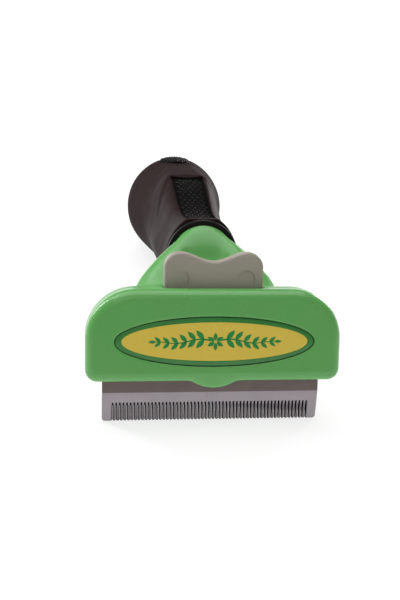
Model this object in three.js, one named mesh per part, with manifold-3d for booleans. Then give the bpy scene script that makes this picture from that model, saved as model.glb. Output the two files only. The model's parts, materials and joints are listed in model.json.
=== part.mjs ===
// A deshedding tool: a fine steel comb blade in a wide two-part head, a thumb button that drives an
// ejector plate down the back of the teeth, and a bulbous soft-touch handle behind a flared neck.
// Millimetres. The tool lies on its teeth and on the underside of the handle's bulb, +Z up, the
// handle towards +Y, and is symmetric about x = 0.
import * as THREE from 'three';
import { mergeVertices } from 'three/addons/utils/BufferGeometryUtils.js';
import { LoftGeometry } from 'three/addons/geometries/LoftGeometry.js';
import Module from 'manifold-3d';

const wasm = await Module();
wasm.setup();

// ---------------------------------------------------------------- driving dimensions
// Head frame: x across, y from the face towards the handle, z up the face. Its origin lies on the
// front of the blade, at the lower edge of the face.
const GAP = 0.3; // clearance between pieces that touch
const WALL = 2; // wall of both head shells

const HEAD = { width: 77.5, bottomZ: 1.1, topZ: 29.05, topRadius: 15, bottomRadius: 3.7 };
const FACE_Y = -7.1;
const BACK_Y = 8.3;
const FACE_FILLET = 3;
const BACK_FILLET = 5.8;
const FACE_WALL = 2.5;
const PARTING_HALF_GAP = 0.15;

const LABEL = { width: 60, height: 14.7, centreZ: 13.5, recess: 1.2, thickness: 0.5 };
const TONGUE = { width: 13.5, drop: 2.1, frontY: -4.8, chamfer: 1.2 };

const BLADE = { width: 67, thickness: 2.8, topZ: 6, flatZ: -3.4, tipZ: -12.7, tipThickness: 0.45 };
const TEETH = { slots: 56, pitch: 1.1, slotWidth: 0.45, slotLength: 6.1 };
const BLADE_SCREW = { x: 25, z: 3.4, sinkRadius: 2.5, bossRadius: 2.1 };

const BUTTON = { width: 30.2, frontY: -1.6, backY: 3.2, crestZ: 39.8, saddleZ: 37, crestX: 10.4 };
const TRAVEL = 9.5; // the button's stroke, down the face
const BUTTON_BODY = { bottomZ: BLADE.topZ + 0.5 + TRAVEL, stepZ: 24, stemBackY: 2.8, bevel: 0.8 };
const BUTTON_MARK = { x: 10, z: 31.9, radius: 2.5, depth: 0.25 };
const WING = { reach: 23.3, frontY: -1, backY: 4.1, bottomZ: 24.2, topZ: 26.4 };

const PLATE = { width: 61.2, thickness: 1.2, bottomZ: -1, shoulderZ: 6, tongueWidth: 26, topZ: 22.4 };
const EJECTOR_SCREW = { x: 8, z: 19 };

const SPRING = { x: 20, y: 1.6, radius: 2.05, wire: 0.7, coils: 7 };
const LEDGE = { inner: 16.5, outer: 23.5, frontY: -0.9, bottomZ: 6.4, topZ: 8.2, ribFrontY: 4.7 };
const GUIDE = { radius: 1.2, seat: 1.2 };

const SHELL_SCREWS = [
  { name: 'left_upper', x: -29, z: 20.5 },
  { name: 'right_upper', x: 29, z: 20.5 },
  { name: 'left_lower', x: -31, z: 11.5 },
  { name: 'right_lower', x: 31, z: 11.5 },
];
const SCREW_SHANK = 1.1;
const SHELL_SCREW_LENGTH = 8.2;

// Handle frame: y along the handle from the collar's middle, z up, square to it.
const COLLAR = { y: 27.3, z: 36.3, radius: 12.1, length: 1.8, slope: 7.3, edge: 0.4 };
const TANG = { radius: 5.4, length: 5.4, noseRadius: 2, noseLength: 1.6 };
const TANG_SCREW = { place: -4.2, headSeat: -7.5, headRadius: 2.4, headHeight: 1.6, length: 4.6 };
const CORE_BORE = { radius: 4, mouth: 1.1, end: 80 };
const BULB = { centre: 96, radius: 19.4, end: 115.4, coreEnd: 112, coreRadius: 15.9 };

// Stations of the neck from the head (0) to the collar (1): where its top and bottom lines run,
// half its width, how square its section is, and how deep the thumb scoop is.
const NECK_TOP_Y = [[0, 2], [0.25, 8], [0.5, 13.5], [0.7, 18.3], [0.85, 21.7], [1, 24.78]];
const NECK_TOP_Z = [[0, 28.2], [0.25, 29.9], [0.5, 35.5], [0.7, 40.7], [0.85, 43.9], [1, 46.51]];
const NECK_BOTTOM_Y = [[0, 2], [0.25, 9.5], [0.5, 16], [0.7, 20.8], [0.85, 24.2], [1, 27.44]];
const NECK_BOTTOM_Z = [[0, 5], [0.25, 6.8], [0.5, 13], [0.7, 18.6], [0.85, 22.5], [1, 25.78]];
const NECK_HALF_WIDTH = [
  [0, 26.6], [0.25, 26], [0.5, 22.8], [0.62, 20], [0.78, 15.5], [0.92, 11.8], [1, 10.45],
];
const NECK_SQUARENESS = [[0, 3], [0.5, 2.6], [0.85, 2.15], [1, 2]];
const NECK_SCOOP = [
  [0, 0], [0.2, 1.2], [0.35, 2.2], [0.48, 4.2], [0.58, 5], [0.66, 4.3], [0.75, 2.3], [0.84, 0.8],
  [0.92, 0.1], [1, 0],
];
const SCOOP_HALF_WIDTH = [[0, 9.5], [0.5, 8], [0.65, 7.2], [0.8, 6.4], [0.9, 5.2], [1, 4.5]];
const NECK_WALL = 2.6;
const NECK_CAVITY_END = 0.55;

// Stations of the grip along the handle: half its width, the heights of its crest and its belly
// from the axis, how deep its cheeks are scooped, and half the width of its flat crest.
const GRIP_SIDE = [
  [0, 11.9], [10, 12], [20, 13.1], [28, 14], [42, 14.2], [60, 14.3], [70, 15.3], [80, 17.1], [90, 18.9],
  [96, 19.4],
];
const GRIP_TOP = [
  [0, 12.1], [5, 11.5], [12, 11], [20, 11.6], [30, 13.6], [40, 16.5], [48, 18.3], [56, 18.9], [80, 19],
  [96, 19.4],
];
const GRIP_BELLY = [[0, 12.1], [20, 14.6], [40, 16.5], [60, 18.1], [76, 19.2], [96, 19.4]];
const BELLY_SQUARENESS = 2.15;
const GRIP_CHEEK = [[0, 0], [10, 1], [20, 1.8], [30, 2.1], [40, 2], [50, 1.2], [62, 0.3], [75, 0]];
const GRIP_FLAT = [[0, 5], [52, 6.8], [66, 5], [96, 5]];
const CORE_RADIUS = [
  [2, 5.4], [14, 7.4], [24, 8.6], [34, 10.6], [60, 11.2], [72, 12.2], [84, 14.2], [96, 15.9],
];

const TOP_INSERT = { from: 4.4, to: 52, nearWidth: 10, farWidth: 11.8, depth: 1.7, sunk: 0.25 };
const END_INSERT = { from: 86, to: 108.5, width: 12.6, depth: 1.5, proud: 1.3, crown: 1 };

// ---------------------------------------------------------------- solids and booleans
function asSolid(shape) {
  if (!shape.isBufferGeometry) return shape;
  const bare = new THREE.BufferGeometry();
  bare.setAttribute('position', shape.getAttribute('position').clone());
  if (shape.index) bare.setIndex(shape.index.clone());
  const merged = mergeVertices(bare, 1e-4);
  const mesh = new wasm.Mesh({
    numProp: 3,
    vertProperties: merged.attributes.position.array,
    triVerts: new Uint32Array(merged.index.array),
  });
  return new wasm.Manifold(mesh);
}

const join = (...shapes) => shapes.map(asSolid).reduce((whole, shape) => whole.add(shape));
const cut = (base, ...tools) => tools.reduce((left, tool) => left.subtract(asSolid(tool)), asSolid(base));
const common = (a, b) => asSolid(a).intersect(asSolid(b));

function toGeometry(shape) {
  if (shape.isBufferGeometry) return shape;
  const mesh = shape.getMesh();
  const geometry = new THREE.BufferGeometry();
  geometry.setAttribute('position', new THREE.BufferAttribute(mesh.vertProperties, 3));
  geometry.setIndex(new THREE.BufferAttribute(mesh.triVerts, 1));
  return geometry;
}

// A smooth curve through [place, value] stations, level beyond both ends.
function smooth(stations) {
  const last = stations.length - 1;
  const slope = (i) => {
    const before = stations[Math.max(i - 1, 0)];
    const after = stations[Math.min(i + 1, last)];
    return (after[1] - before[1]) / (after[0] - before[0]);
  };
  return (place) => {
    if (place <= stations[0][0]) return stations[0][1];
    if (place >= stations[last][0]) return stations[last][1];
    const i = stations.findIndex((station) => station[0] > place) - 1;
    const [p0, v0] = stations[i];
    const [p1, v1] = stations[i + 1];
    const span = p1 - p0;
    const u = (place - p0) / span;
    const bend = (slope(i) * (1 - u) - slope(i + 1) * u) * span * u * (1 - u);
    const ease = u * u * (3 - 2 * u);
    return v0 + (v1 - v0) * ease + bend;
  };
}

const steps = (from, to, count) =>
  Array.from({ length: count + 1 }, (_, i) => from + ((to - from) * i) / count);
const mirrored = (make) => [make(-1), make(1)];

function block(x0, x1, y0, y1, z0, z1) {
  const box = new THREE.BoxGeometry(x1 - x0, y1 - y0, z1 - z0);
  return box.translate((x0 + x1) / 2, (y0 + y1) / 2, (z0 + z1) / 2);
}

function rodAlongY(radius, y0, y1, x, z, sides = 16) {
  return new THREE.CylinderGeometry(radius, radius, y1 - y0, sides).translate(x, (y0 + y1) / 2, z);
}

function rodAlongZ(radius, z0, z1, x, y, sides = 16) {
  const rod = new THREE.CylinderGeometry(radius, radius, z1 - z0, sides).rotateX(Math.PI / 2);
  return rod.translate(x, y, (z0 + z1) / 2);
}

// A flat piece: an outline in x and z, given thickness from y0 to y1.
function plate(outline, y0, y1, curveSegments = 12) {
  const options = { depth: y1 - y0, bevelEnabled: false, curveSegments };
  return new THREE.ExtrudeGeometry(outline, options).rotateX(Math.PI / 2).translate(0, y1, 0);
}

function ellipse(width, height, centreZ) {
  return new THREE.Shape().absellipse(0, centreZ, width / 2, height / 2, 0, Math.PI * 2);
}

// A turned piece about the y axis, from [radius, y] points walked up its outside.
function turned(points, sides = 32) {
  return new THREE.LatheGeometry(points.map(([r, y]) => new THREE.Vector2(r, y)), sides);
}

// ---------------------------------------------------------------- head shells
// The head's outline, drawn in by inset, at one depth.
function headOutline(y, inset, arcSteps = 6) {
  const side = HEAD.width / 2 - inset;
  const top = HEAD.topZ - inset;
  const bottom = HEAD.bottomZ + inset;
  const topR = HEAD.topRadius - inset;
  const bottomR = Math.max(HEAD.bottomRadius - inset, 0.4);
  const corners = [
    { x: -side + bottomR, z: bottom + bottomR, r: bottomR, from: 270 },
    { x: -side + topR, z: top - topR, r: topR, from: 180 },
    { x: side - topR, z: top - topR, r: topR, from: 90 },
    { x: side - bottomR, z: bottom + bottomR, r: bottomR, from: 0 },
  ];
  return corners.flatMap(({ x, z, r, from }) =>
    steps(from, from - 90, arcSteps).map((degrees) => {
      const a = THREE.MathUtils.degToRad(degrees);
      return new THREE.Vector3(x + r * Math.cos(a), y, z + r * Math.sin(a));
    }),
  );
}

// A closed body whose outline follows the head's, through [y, inset] stations.
function headLoft(stations) {
  const sections = stations.map(([y, inset]) => headOutline(y, inset));
  return new LoftGeometry(sections, { capStart: true, capEnd: true });
}

// Stations of a rounded edge that leaves the flat at y and turns through a quarter circle.
function filletStations(y, radius, inward) {
  return steps(0, 90, 4).map((degrees) => {
    const a = THREE.MathUtils.degToRad(degrees);
    return [y + inward * radius * (1 - Math.cos(a)), radius * (1 - Math.sin(a))];
  });
}

// The rounded tab that hangs over the middle of the blade.
function tongue() {
  const radius = ((TONGUE.width / 2) ** 2 + TONGUE.drop ** 2) / (2 * TONGUE.drop);
  const profile = [
    [0, TONGUE.frontY],
    [radius - TONGUE.chamfer, TONGUE.frontY],
    [radius - TONGUE.chamfer * 0.3, TONGUE.frontY + TONGUE.chamfer * 0.3],
    [radius, TONGUE.frontY + TONGUE.chamfer],
    [radius, -GAP],
    [0, -GAP],
  ];
  const lowest = HEAD.bottomZ - TONGUE.drop;
  const disc = turned(profile, 72).translate(0, 0, lowest + radius);
  return common(disc, block(-TONGUE.width, TONGUE.width, FACE_Y, 0, lowest - 1, HEAD.bottomZ + WALL));
}

function headFrontShell() {
  const outside = headLoft([...filletStations(FACE_Y, FACE_FILLET, 1), [-PARTING_HALF_GAP, 0]]);
  const cavityY = FACE_Y + FACE_WALL;
  const cavity = headLoft([[cavityY, WALL + 0.8], [cavityY + 0.8, WALL], [1, WALL]]);
  const hollow = cut(outside, cavity);
  const bosses = SHELL_SCREWS.map(({ x, z }) => rodAlongY(2.8, cavityY - 0.5, -GAP, x, z));
  const bladeBosses = mirrored((side) =>
    rodAlongY(BLADE_SCREW.bossRadius, cavityY - 0.5, -GAP, side * BLADE_SCREW.x, BLADE_SCREW.z),
  );
  const whole = join(hollow, ...bosses, ...bladeBosses, tongue());
  const floorY = FACE_Y + LABEL.recess;
  const recess = plate(ellipse(LABEL.width + 0.6, LABEL.height + 0.6, LABEL.centreZ), FACE_Y - 1, floorY, 28);
  const halfButton = BUTTON.width / 2 + GAP;
  const buttonSlot = block(-halfButton, halfButton, BUTTON.frontY - GAP, 1, 25, HEAD.topZ + 2);
  const halfBlade = BLADE.width / 2 + GAP;
  const bladeSlot = block(-halfBlade, halfBlade, -GAP, 1, -TONGUE.drop - 1, BLADE.topZ + 1);
  const pilots = SHELL_SCREWS.map(({ x, z }) => rodAlongY(SCREW_SHANK + GAP, -3.8, 1, x, z, 12));
  const bladePilots = mirrored((side) =>
    rodAlongY(SCREW_SHANK + GAP, -3.8, 1, side * BLADE_SCREW.x, BLADE_SCREW.z, 12),
  );
  return cut(whole, recess, buttonSlot, bladeSlot, ...pilots, ...bladePilots);
}

const neckTopY = smooth(NECK_TOP_Y);
const neckTopZ = smooth(NECK_TOP_Z);
const neckBottomY = smooth(NECK_BOTTOM_Y);
const neckBottomZ = smooth(NECK_BOTTOM_Z);
const neckHalfWidth = smooth(NECK_HALF_WIDTH);
const neckSquareness = smooth(NECK_SQUARENESS);
const neckScoop = smooth(NECK_SCOOP);
const scoopHalfWidth = smooth(SCOOP_HALF_WIDTH);

// One section of the neck: a superellipse between its bottom and top lines, dished for the thumb.
function neckSection(s, wall, points) {
  const bottom = new THREE.Vector2(neckBottomY(s), neckBottomZ(s));
  const top = new THREE.Vector2(neckTopY(s), neckTopZ(s));
  const half = top.clone().sub(bottom).multiplyScalar(0.5);
  const middle = bottom.add(half);
  const up = half.clone().normalize();
  const height = half.length() - wall;
  const width = neckHalfWidth(s) - wall;
  const power = 2 / neckSquareness(s);
  return Array.from({ length: points }, (_, i) => {
    const a = (i / points) * Math.PI * 2;
    const x = -Math.sign(Math.cos(a)) * width * Math.abs(Math.cos(a)) ** power;
    const lift = Math.sign(Math.sin(a)) * height * Math.abs(Math.sin(a)) ** power;
    const upper = Math.max(lift / height, 0) ** 2;
    const dish = neckScoop(s) * Math.exp(-(Math.abs(x / scoopHalfWidth(s)) ** 3)) * upper;
    return new THREE.Vector3(x, middle.x + up.x * (lift - dish), middle.y + up.y * (lift - dish));
  });
}

function neckLoft(wall, end, count, points) {
  const sections = steps(0, end, count).map((s) => neckSection(s, wall, points));
  return new LoftGeometry(sections, { capStart: true, capEnd: true });
}

const handleFrame = new THREE.Matrix4()
  .makeRotationX(THREE.MathUtils.degToRad(COLLAR.slope))
  .setPosition(0, COLLAR.y, COLLAR.z);

// The tang's outline, swollen by room, from the tip of its nose back to a place along the handle.
function tangOutline(room, back) {
  const tip = -TANG.length - TANG.noseLength - room;
  const radius = TANG.radius + room;
  return [[TANG.noseRadius + room / 2, tip], [radius, -TANG.length - room / 2], [radius, back]];
}

function headRearShell() {
  const outside = headLoft([[PARTING_HALF_GAP, 0], ...filletStations(BACK_Y, BACK_FILLET, -1).reverse()]);
  const innerFillet = filletStations(BACK_Y - WALL, BACK_FILLET - WALL, -1).reverse();
  const cavity = headLoft([[-1, WALL], ...innerFillet.map(([y, inset]) => [y, inset + WALL])]);
  const neck = neckLoft(0, 1, 16, 36);
  const hollow = cut(join(outside, neck), cavity, neckLoft(NECK_WALL, NECK_CAVITY_END, 5, 20));
  const bosses = SHELL_SCREWS.map(({ x, z }) => rodAlongY(3.5, PARTING_HALF_GAP, BACK_Y - 1.5, x, z));
  const ledges = mirrored((side) => {
    const [x0, x1] = side < 0 ? [-LEDGE.outer, -LEDGE.inner] : [LEDGE.inner, LEDGE.outer];
    const shelf = block(x0, x1, LEDGE.frontY, BACK_Y - WALL + 0.3, LEDGE.bottomZ, LEDGE.topZ);
    const rib = block(x0, x1, LEDGE.ribFrontY, BACK_Y - WALL + 0.3, HEAD.bottomZ + 1, LEDGE.topZ);
    return join(shelf, rib);
  });
  const whole = join(hollow, ...bosses, ...ledges);
  const halfButton = BUTTON.width / 2 + GAP;
  const pathTop = BUTTON.crestZ + 8;
  const buttonPath = block(-halfButton, halfButton, -1, BUTTON.backY + GAP, BUTTON_BODY.bottomZ, pathTop);
  const halfBlade = BLADE.width / 2 + GAP + 0.2;
  const mouthY = BLADE.thickness + PLATE.thickness + 2 * GAP;
  const mouth = block(-halfBlade, halfBlade, -1, mouthY, -1, HEAD.bottomZ + WALL + 1);
  const guideSeats = mirrored((side) =>
    rodAlongZ(GUIDE.radius + GAP, LEDGE.topZ - GUIDE.seat, LEDGE.topZ + 1, side * SPRING.x, SPRING.y, 12),
  );
  const clearances = SHELL_SCREWS.map(({ x, z }) => rodAlongY(SCREW_SHANK + GAP, -1, BACK_Y - 1, x, z, 12));
  const counterbores = SHELL_SCREWS.map(({ x, z }) => rodAlongY(2.9, BACK_Y - 3.2, BACK_Y + 1, x, z));
  const socket = tangOutline(GAP, 5);
  const bore = turned([[0, socket[0][1]], ...socket, [0, 5]], 28);
  const screwHole = rodAlongZ(SCREW_SHANK + GAP, -12, -TANG.radius / 2, 0, TANG_SCREW.place, 12);
  const seatFloor = TANG_SCREW.headSeat + GAP;
  const screwSeat = rodAlongZ(TANG_SCREW.headRadius + GAP, -20, seatFloor, 0, TANG_SCREW.place);
  const tangSeat = join(bore, screwHole, screwSeat).transform(handleFrame.elements);
  return cut(whole, buttonPath, mouth, ...guideSeats, ...clearances, ...counterbores, tangSeat);
}

function labelBadge() {
  const backY = FACE_Y + LABEL.recess - GAP;
  return plate(ellipse(LABEL.width, LABEL.height, LABEL.centreZ), backY - LABEL.thickness, backY, 28);
}

// ---------------------------------------------------------------- blade
function combBlade() {
  const half = BLADE.width / 2;
  const rootZ = BLADE.tipZ + TEETH.slotLength;
  const nick = 0.8; // the tiny chamfer at each lower corner
  const outline = new THREE.Shape();
  outline.moveTo(-half, BLADE.topZ);
  outline.lineTo(-half, BLADE.tipZ + nick);
  outline.lineTo(-half + nick, BLADE.tipZ);
  for (let i = 0; i < TEETH.slots; i += 1) {
    const x = (i - (TEETH.slots - 1) / 2) * TEETH.pitch;
    outline.lineTo(x - TEETH.slotWidth / 2, BLADE.tipZ);
    outline.lineTo(x - TEETH.slotWidth / 2, rootZ);
    outline.lineTo(x + TEETH.slotWidth / 2, rootZ);
    outline.lineTo(x + TEETH.slotWidth / 2, BLADE.tipZ);
  }
  outline.lineTo(half - nick, BLADE.tipZ);
  outline.lineTo(half, BLADE.tipZ + nick);
  outline.lineTo(half, BLADE.topZ);
  outline.closePath();
  // The ground bevel: everything in front of the line from the flat's lower edge to the tips.
  const slope = (BLADE.thickness - BLADE.tipThickness) / (BLADE.flatZ - BLADE.tipZ);
  const lowZ = BLADE.tipZ - 2;
  const wedge = new THREE.Shape();
  wedge.moveTo(0, BLADE.flatZ);
  wedge.lineTo(slope * (BLADE.flatZ - lowZ), lowZ);
  wedge.lineTo(-2, lowZ);
  wedge.lineTo(-2, BLADE.flatZ);
  wedge.closePath();
  const grind = new THREE.ExtrudeGeometry(wedge, { depth: BLADE.width + 4, bevelEnabled: false });
  grind.applyMatrix4(new THREE.Matrix4().set(0, 0, 1, -half - 2, 1, 0, 0, 0, 0, 1, 0, 0, 0, 0, 0, 1));
  const holes = mirrored((side) => {
    const through = rodAlongY(SCREW_SHANK + GAP, -1, BLADE.thickness + 1, 0, 0, 12);
    const sink = BLADE_SCREW.sinkRadius;
    const cone = turned([[0, 1], [SCREW_SHANK + GAP, 1], [sink, 2.4], [sink, 4], [0, 4]], 12);
    const tool = join(through, cone);
    return tool.translate([side * BLADE_SCREW.x, 0, BLADE_SCREW.z]);
  });
  return cut(plate(outline, 0, BLADE.thickness), grind, ...holes);
}

// ---------------------------------------------------------------- ejector
// The thumb button's outline: two horns with a saddle between them.
function buttonOutline() {
  const half = BUTTON.width / 2;
  const hornRadius = half - BUTTON.crestX;
  const rise = BUTTON.crestZ - BUTTON.saddleZ;
  const outline = new THREE.Shape();
  outline.moveTo(-half, BUTTON_BODY.stepZ);
  outline.lineTo(half, BUTTON_BODY.stepZ);
  outline.lineTo(half, BUTTON.crestZ - hornRadius);
  outline.absarc(BUTTON.crestX, BUTTON.crestZ - hornRadius, hornRadius, 0, Math.PI / 2, false);
  for (const x of steps(BUTTON.crestX, -BUTTON.crestX, 12).slice(1)) {
    const drop = (1 + Math.cos((x / BUTTON.crestX) * Math.PI)) / 2;
    outline.lineTo(x, BUTTON.crestZ - rise * drop);
  }
  outline.absarc(-BUTTON.crestX, BUTTON.crestZ - hornRadius, hornRadius, Math.PI / 2, Math.PI, false);
  outline.closePath();
  return outline;
}

function ejectorButton() {
  const { bevel, bottomZ, stepZ, stemBackY } = BUTTON_BODY;
  const depth = BUTTON.backY - BUTTON.frontY - 2 * bevel;
  const rounding = { bevelThickness: bevel, bevelSize: bevel, bevelOffset: -bevel, bevelSegments: 2 };
  const crown = new THREE.ExtrudeGeometry(buttonOutline(), { depth, curveSegments: 6, ...rounding });
  crown.rotateX(Math.PI / 2).translate(0, BUTTON.backY - bevel, 0);
  const half = BUTTON.width / 2;
  const body = block(-half, half, BUTTON.frontY, stemBackY, bottomZ, stepZ + 2);
  const shoulder = block(-half, half, BUTTON.frontY, BUTTON.backY, stepZ, stepZ + 2);
  const wings = block(-WING.reach, WING.reach, WING.frontY, WING.backY, WING.bottomZ, WING.topZ);
  const core = block(-4.6, 4.6, 0.2, stemBackY + 1, bottomZ - 1, 22);
  const guideHoles = mirrored((side) =>
    rodAlongZ(GUIDE.radius + GAP, WING.bottomZ - 1, WING.topZ + 1, side * SPRING.x, SPRING.y, 12),
  );
  const pilots = mirrored((side) =>
    rodAlongY(SCREW_SHANK + GAP, -0.8, 4, side * EJECTOR_SCREW.x, EJECTOR_SCREW.z, 12),
  );
  const marks = mirrored((side) => {
    const floor = BUTTON.frontY + BUTTON_MARK.depth;
    return rodAlongY(BUTTON_MARK.radius, BUTTON.frontY - 1, floor, side * BUTTON_MARK.x, BUTTON_MARK.z, 24);
  });
  return cut(join(crown, body, shoulder, wings), core, ...guideHoles, ...pilots, ...marks);
}

function ejectorPlate() {
  const bar = PLATE.width / 2;
  const tongueHalf = PLATE.tongueWidth / 2;
  const outline = new THREE.Shape();
  outline.moveTo(-bar, PLATE.bottomZ);
  outline.lineTo(bar, PLATE.bottomZ);
  outline.lineTo(bar, PLATE.shoulderZ);
  outline.lineTo(tongueHalf, PLATE.shoulderZ);
  outline.lineTo(tongueHalf, PLATE.topZ);
  outline.lineTo(-tongueHalf, PLATE.topZ);
  outline.lineTo(-tongueHalf, PLATE.shoulderZ);
  outline.lineTo(-bar, PLATE.shoulderZ);
  outline.closePath();
  const frontY = BLADE.thickness + GAP;
  const sheet = plate(outline, frontY, frontY + PLATE.thickness);
  const holes = mirrored((side) =>
    rodAlongY(SCREW_SHANK + GAP, 0, 8, side * EJECTOR_SCREW.x, EJECTOR_SCREW.z, 12),
  );
  return cut(sheet, ...holes);
}

// The line of a spring's wire: closed end coils and even coils between them.
class SpringLine extends THREE.Curve {
  constructor(bottom, top) {
    super();
    this.bottom = bottom;
    this.top = top;
  }

  getPoint(u, target = new THREE.Vector3()) {
    const turn = u * SPRING.coils * Math.PI * 2;
    const rise = u - Math.sin(u * Math.PI * 2) / (Math.PI * 2.6);
    const z = THREE.MathUtils.lerp(this.bottom, this.top, rise);
    return target.set(SPRING.radius * Math.cos(turn), SPRING.radius * Math.sin(turn), z);
  }
}

function returnSpring(side) {
  const half = SPRING.wire / 2;
  const line = new SpringLine(LEDGE.topZ + GAP + half, WING.bottomZ - GAP - half);
  const wire = new THREE.Shape().absarc(0, 0, half, 0, Math.PI * 2);
  const options = { extrudePath: line, steps: SPRING.coils * 10, curveSegments: 3 };
  return new THREE.ExtrudeGeometry(wire, options).translate(side * SPRING.x, SPRING.y, 0);
}

function guideRod(side) {
  const bottom = LEDGE.topZ - GUIDE.seat + GAP;
  const top = HEAD.topZ - WALL - GAP - 0.1;
  return rodAlongZ(GUIDE.radius, bottom, top, side * SPRING.x, SPRING.y, 14);
}

// ---------------------------------------------------------------- screws
// A cross-recessed screw, its point at y = 0 and its head up the y axis.
function screw(length, headRadius, headHeight, countersunk) {
  const top = length + headHeight;
  const sunkHead = [[headRadius, top - 0.1], [headRadius, top]];
  const panHead = [[headRadius, length], [headRadius, length + headHeight * 0.55], [headRadius * 0.72, top]];
  const profile = [
    [0, 0],
    [SCREW_SHANK * 0.5, 0.2],
    [SCREW_SHANK, 1.2],
    [SCREW_SHANK, length],
    ...(countersunk ? sunkHead : panHead),
    [0, top],
  ];
  const reach = headRadius * 0.52;
  const arm = 0.28;
  const floorY = length + headHeight * 0.4;
  const cross = join(
    block(-reach, reach, floorY, floorY + 4, -arm, arm),
    block(-arm, arm, floorY, floorY + 4, -reach, reach),
  );
  return cut(turned(profile, 12), cross);
}

const shellScrew = () => screw(SHELL_SCREW_LENGTH, 2.5, 2, false);
const bladeScrew = () => screw(4.6, 2.1, 1.1, true);
const ejectorScrew = () => screw(5, 2.2, 1.3, false);
const tangScrew = () => screw(TANG_SCREW.length, TANG_SCREW.headRadius, TANG_SCREW.headHeight, false);

// ---------------------------------------------------------------- handle
const gripSideBefore = smooth(GRIP_SIDE);
const gripTopBefore = smooth(GRIP_TOP);
const gripBellyBefore = smooth(GRIP_BELLY);
const gripCheek = smooth(GRIP_CHEEK);
const gripFlat = smooth(GRIP_FLAT);
const coreRadiusBefore = smooth(CORE_RADIUS);

// Past the bulb's centre every radius closes like the end of an ellipse.
function closing(t, end) {
  if (t <= BULB.centre) return 1;
  const u = Math.min((t - BULB.centre) / (end - BULB.centre), 1);
  return Math.sqrt(1 - u * u);
}

const gripTop = (t) => gripTopBefore(t) * closing(t, BULB.end);

// How far the grip's surface lies from the axis at a place, at an angle from the top.
function gripReach(t, fromTop) {
  const close = closing(t, BULB.end);
  const side = gripSideBefore(t) * close;
  const level = fromTop < Math.PI / 2 ? gripTop(t) : gripBellyBefore(t) * close;
  const power = fromTop < Math.PI / 2 ? 2 : BELLY_SQUARENESS;
  const across = Math.abs(Math.sin(fromTop)) / side;
  const upright = Math.abs(Math.cos(fromTop)) / level;
  const oval = (across ** power + upright ** power) ** (-1 / power);
  const flatAngle = Math.atan2(gripFlat(t) * close, gripTop(t));
  const cheekEnd = THREE.MathUtils.degToRad(110);
  if (fromTop < flatAngle) return gripTop(t) / Math.cos(fromTop);
  if (fromTop > cheekEnd) return oval;
  const u = (fromTop - flatAngle) / (cheekEnd - flatAngle);
  const overEdge = gripTop(t) / Math.cos(flatAngle) - 1 / Math.hypot(
    Math.sin(flatAngle) / side, Math.cos(flatAngle) / gripTop(t),
  );
  return oval + overEdge * (1 - u) ** 3 - gripCheek(t) * Math.sin(Math.PI * u) ** 2;
}

function gripSection(t, points) {
  return Array.from({ length: points }, (_, i) => {
    const turn = (i / points) * Math.PI * 2;
    const reach = gripReach(t, turn > Math.PI ? Math.PI * 2 - turn : turn);
    return new THREE.Vector3(reach * Math.sin(turn), t, reach * Math.cos(turn));
  });
}

function gripBody() {
  const start = COLLAR.length / 2 + GAP;
  const blunt = steps(0, 0.985, 7).slice(1);
  const closed = blunt.map((u) => BULB.centre + (BULB.end - BULB.centre) * Math.sin((u * Math.PI) / 2));
  const sections = [...steps(start, BULB.centre, 17), ...closed].map((t) => gripSection(t, 36));
  return new LoftGeometry(sections, { capStart: true, capEnd: true });
}

// The core's outside behind the tang, swollen by room, as points back to the middle of its blunt end.
function coreOutside(room) {
  const body = steps(2, BULB.centre, 11).map((t) => [coreRadiusBefore(t) + room, t]);
  const blunt = steps(0, 1, 6).slice(1, -1).map((u) => {
    const a = (u * Math.PI) / 2;
    const reach = BULB.coreEnd - BULB.centre + room;
    return [(BULB.coreRadius + room) * Math.cos(a), BULB.centre + reach * Math.sin(a)];
  });
  return [...body, ...blunt, [0, BULB.coreEnd + room]];
}

function handleCore() {
  const outside = [...tangOutline(0, 0), ...coreOutside(0)];
  const nose = outside[0][1];
  const inside = [
    [0, CORE_BORE.end + 2],
    [CORE_BORE.radius, CORE_BORE.end],
    [CORE_BORE.radius, 1 - TANG.length],
    [CORE_BORE.mouth, nose],
  ];
  const body = turned([...inside, ...outside, inside[0]], 24);
  const hole = rodAlongZ(SCREW_SHANK + GAP, -12, -2, 0, TANG_SCREW.place, 12);
  return cut(body, hole);
}

// A strip that follows the grip's crest from one place to another, between two heights above it.
// Its upper side drops by crown towards its two edges.
function crestStrip(from, to, halfWidth, low, high, crown = 0) {
  const sections = steps(from, to, 12).map((t) => {
    const half = halfWidth(t);
    const level = gripTop(t);
    const upper = steps(-1, 1, crown ? 6 : 1).map(
      (u) => new THREE.Vector3(u * half, t, level + high - crown * u * u),
    );
    return [new THREE.Vector3(-half, t, level + low), ...upper, new THREE.Vector3(half, t, level + low)];
  });
  return new LoftGeometry(sections, { capStart: true, capEnd: true });
}

function topInsertWidth(t) {
  const u = (t - TOP_INSERT.from) / (TOP_INSERT.to - TOP_INSERT.from);
  return THREE.MathUtils.lerp(TOP_INSERT.nearWidth, TOP_INSERT.farWidth, u) / 2;
}

function gripInsertTop() {
  const { from, to, sunk, depth } = TOP_INSERT;
  return crestStrip(from, to, topInsertWidth, -depth, -sunk);
}

function gripInsertEnd() {
  const { from, to, width, depth, proud, crown } = END_INSERT;
  return crestStrip(from, to, () => width / 2, -depth, proud, crown);
}

function handleGrip() {
  const hollow = turned([[0, 0], [TANG.radius + GAP, 0], ...coreOutside(GAP)], 24);
  const pocket = (insert, halfWidth) =>
    crestStrip(insert.from - GAP, insert.to + GAP, (t) => halfWidth(t) + GAP, -insert.depth - GAP, 4);
  const topPocket = pocket(TOP_INSERT, topInsertWidth);
  const endPocket = pocket(END_INSERT, () => END_INSERT.width / 2);
  return cut(gripBody(), hollow, topPocket, endPocket);
}

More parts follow.
